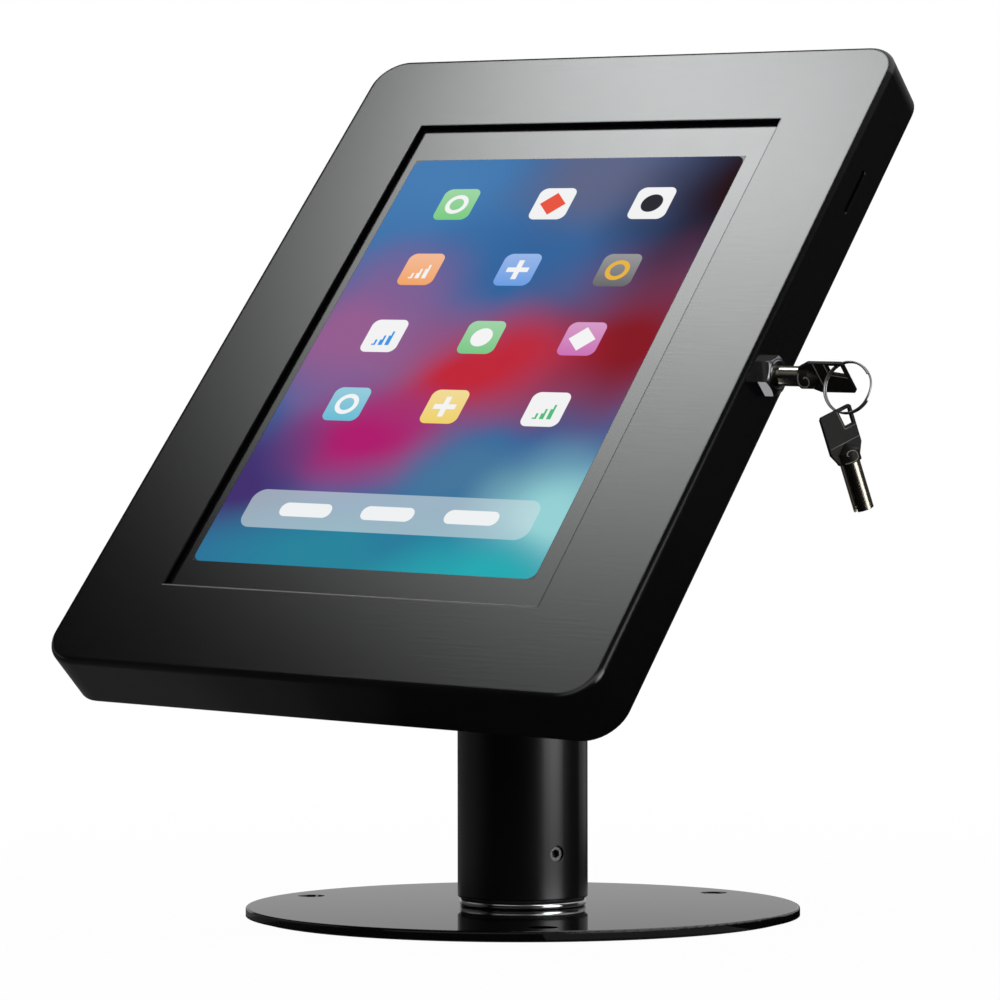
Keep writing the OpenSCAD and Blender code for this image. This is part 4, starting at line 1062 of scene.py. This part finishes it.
def makeTentPart(name, verts, faces, shade, oneSided=False):
    # only reflections see the tent: it gives no light, casts no shadow and isn't in the picture
    material, tree = newMaterial(name)
    glow = addNode(tree, "Emission", 0, 0)
    glow.inputs["Color"].default_value = (shade, shade, shade, 1)
    seen = glow.outputs[0]
    if oneSided:
        clear = addNode(tree, "BsdfTransparent", 0, -200)
        behind = addNode(tree, "NewGeometry", 0, 300).outputs["Backfacing"]
        seen = mixShaders(tree, 300, behind, glow, clear)
    joinUp(tree, seen, tree.nodes["Material Output"].inputs[0])
    tent = newMesh(name, verts, faces, material)
    for rays in ("camera", "diffuse", "transmission", "shadow", "volume_scatter"):
        setattr(tent, "visible_" + rays, False)
    return tree, glow


def addSky(tree, glow, plan):
    # brighter with height, but dark round the panel and in the bands that the case's bends mirror
    coords = addNode(tree, "TexCoord", -1300, 0)
    unit = addNode(tree, "VectorMath", -1100, 0, operation="NORMALIZE")
    joinUp(tree, coords.outputs["Object"], unit.inputs[0])
    way = unit.outputs["Vector"]
    begin, full = [math.sin(math.radians(a)) for a in plan["skyRise"]]
    sky = softStep(tree, -700, 100, dotNode(tree, -900, 100, way, (0, 0, 1)), begin, full)
    inner, outer = [math.cos(math.radians(a)) for a in plan["skyGap"]]
    near = dotNode(tree, -900, -150, way, wayTo(*plan["skyGapWay"]))
    clear = softStep(tree, -700, -150, near, inner, outer)
    sky = mathNode(tree, "MULTIPLY", -480, 0, sky, clear)
    for k, (bend, middle) in enumerate(plan["skyBands"]):
        low = -400 - 250 * k
        along = dotNode(tree, -1100, low, way, caseFrame.to_3x3() @ Vector(bend))
        off = mathNode(tree, "ABSOLUTE", -750, low, mathNode(tree, "SUBTRACT", -920, low, along, middle))
        beside = softStep(tree, -580, low, off, *plan["skyBandWidth"])
        sky = mathNode(tree, "MULTIPLY", -380 + 150 * k, low, sky, beside)
    shade = mathNode(tree, "MULTIPLY_ADD", 0, 300, sky, plan["skyGlow"], plan["tentBlack"])
    glow.inputs["Color"].default_value = (1, 1, 1, 1)
    joinUp(tree, shade, glow.inputs["Strength"])


def addFade(tree, glow, low, high, left):
    # darker between two heights
    apart = addNode(tree, "SeparateXYZ", -700, 0)
    joinUp(tree, addNode(tree, "TexCoord", -900, 0).outputs["Object"], apart.inputs[0])
    fall = softStep(tree, -500, 0, apart.outputs["Z"], low, high)
    joinUp(tree, mathNode(tree, "MULTIPLY_ADD", -280, 0, fall, left - 1, 1), glow.inputs["Strength"])


def makeTent(plan):
    # dark dome and cloth, and the paler cloths and cards in it
    radius, columns = plan["tentRadius"], plan["tentColumns"]
    dome = [(radius, plan["tentFoot"])]
    for degrees in range(0, 91, plan["tentStep"]):
        angle = math.radians(degrees)
        dome.append((radius * math.cos(angle), radius * math.sin(angle)))
    addSky(*makeTentPart("blackTent", *ringBand(dome, 0, 360, columns), plan["tentBlack"]), plan)
    height = plan["clothHeight"]
    cloth = ringBand([(0.0, height), (radius, height)], 0, 360, columns)
    makeTentPart("blackCloth", *cloth, plan["tentBlack"])
    for name, (clothFrom, clothTo, inner, outer, shade) in plan["cloths"].items():
        makeTentPart(name, *ringBand([(inner, 2 * height), (outer, 2 * height)], clothFrom, clothTo), shade)
    for name, (away, cardFrom, cardTo, foot, top, shade) in plan["cards"].items():
        card = makeTentPart(name, *ringBand([(away, foot), (away, top)], cardFrom, cardTo), shade)
        if name == "backCard":
            addFade(*card, *plan["backFade"])
    # small card flat on the case's wall under the lock, which the lock's collar mirrors
    away, near, far, back, front, shade = plan["lockCard"]
    lock = caseFrame.inverted() @ keyFrame.translation
    corners = [(near, back), (near, front), (far, front), (far, back)]
    spots = [caseFrame @ Vector((away, lock.y - down, lock.z + out)) for down, out in corners]
    makeTentPart("lockCard", spots, [(0, 1, 2, 3)], shade, True)


makeWorld(studioPlan)
makeFloor(studioPlan)
makeTent(studioPlan)
makePanel(studioPlan)

# in millimetres and degrees, but clip is in metres
cameraPlan = {
    "lens": 142.5,
    "azimuth": 31.70,
    "elevation": -0.72,
    "roll": -0.07,
    "distance": 1546.83,
    "aimHeight": 162.35,
    "sideways": -8.68,
    "sensorWidth": 36,
    "clip": (0.05, 60),
}


def makeCamera(plan):
    around = math.radians(plan["azimuth"])
    roll = math.radians(plan["roll"])
    back = wayTo(plan["azimuth"], plan["elevation"])
    right = Vector((math.cos(around), math.sin(around), 0))
    up = back.cross(right)
    place = Vector((0, 0, plan["aimHeight"])) + plan["sideways"] * right + plan["distance"] * back
    tiltedRight = math.cos(roll) * right + math.sin(roll) * up
    tiltedUp = math.cos(roll) * up - math.sin(roll) * right
    lens = bpy.data.cameras.new("photoView")
    lens.lens = plan["lens"]
    lens.sensor_width = plan["sensorWidth"]
    lens.clip_start, lens.clip_end = plan["clip"]
    camera = bpy.data.objects.new("photoView", lens)
    axes = Matrix((tiltedRight, tiltedUp, back)).transposed()
    camera.matrix_world = Matrix.LocRotScale(place * mm, axes, None)
    bpy.context.scene.collection.objects.link(camera)
    bpy.context.scene.camera = camera


makeCamera(cameraPlan)
bpy.context.scene.view_settings.view_transform = "Standard"
print("floor, light and camera set")
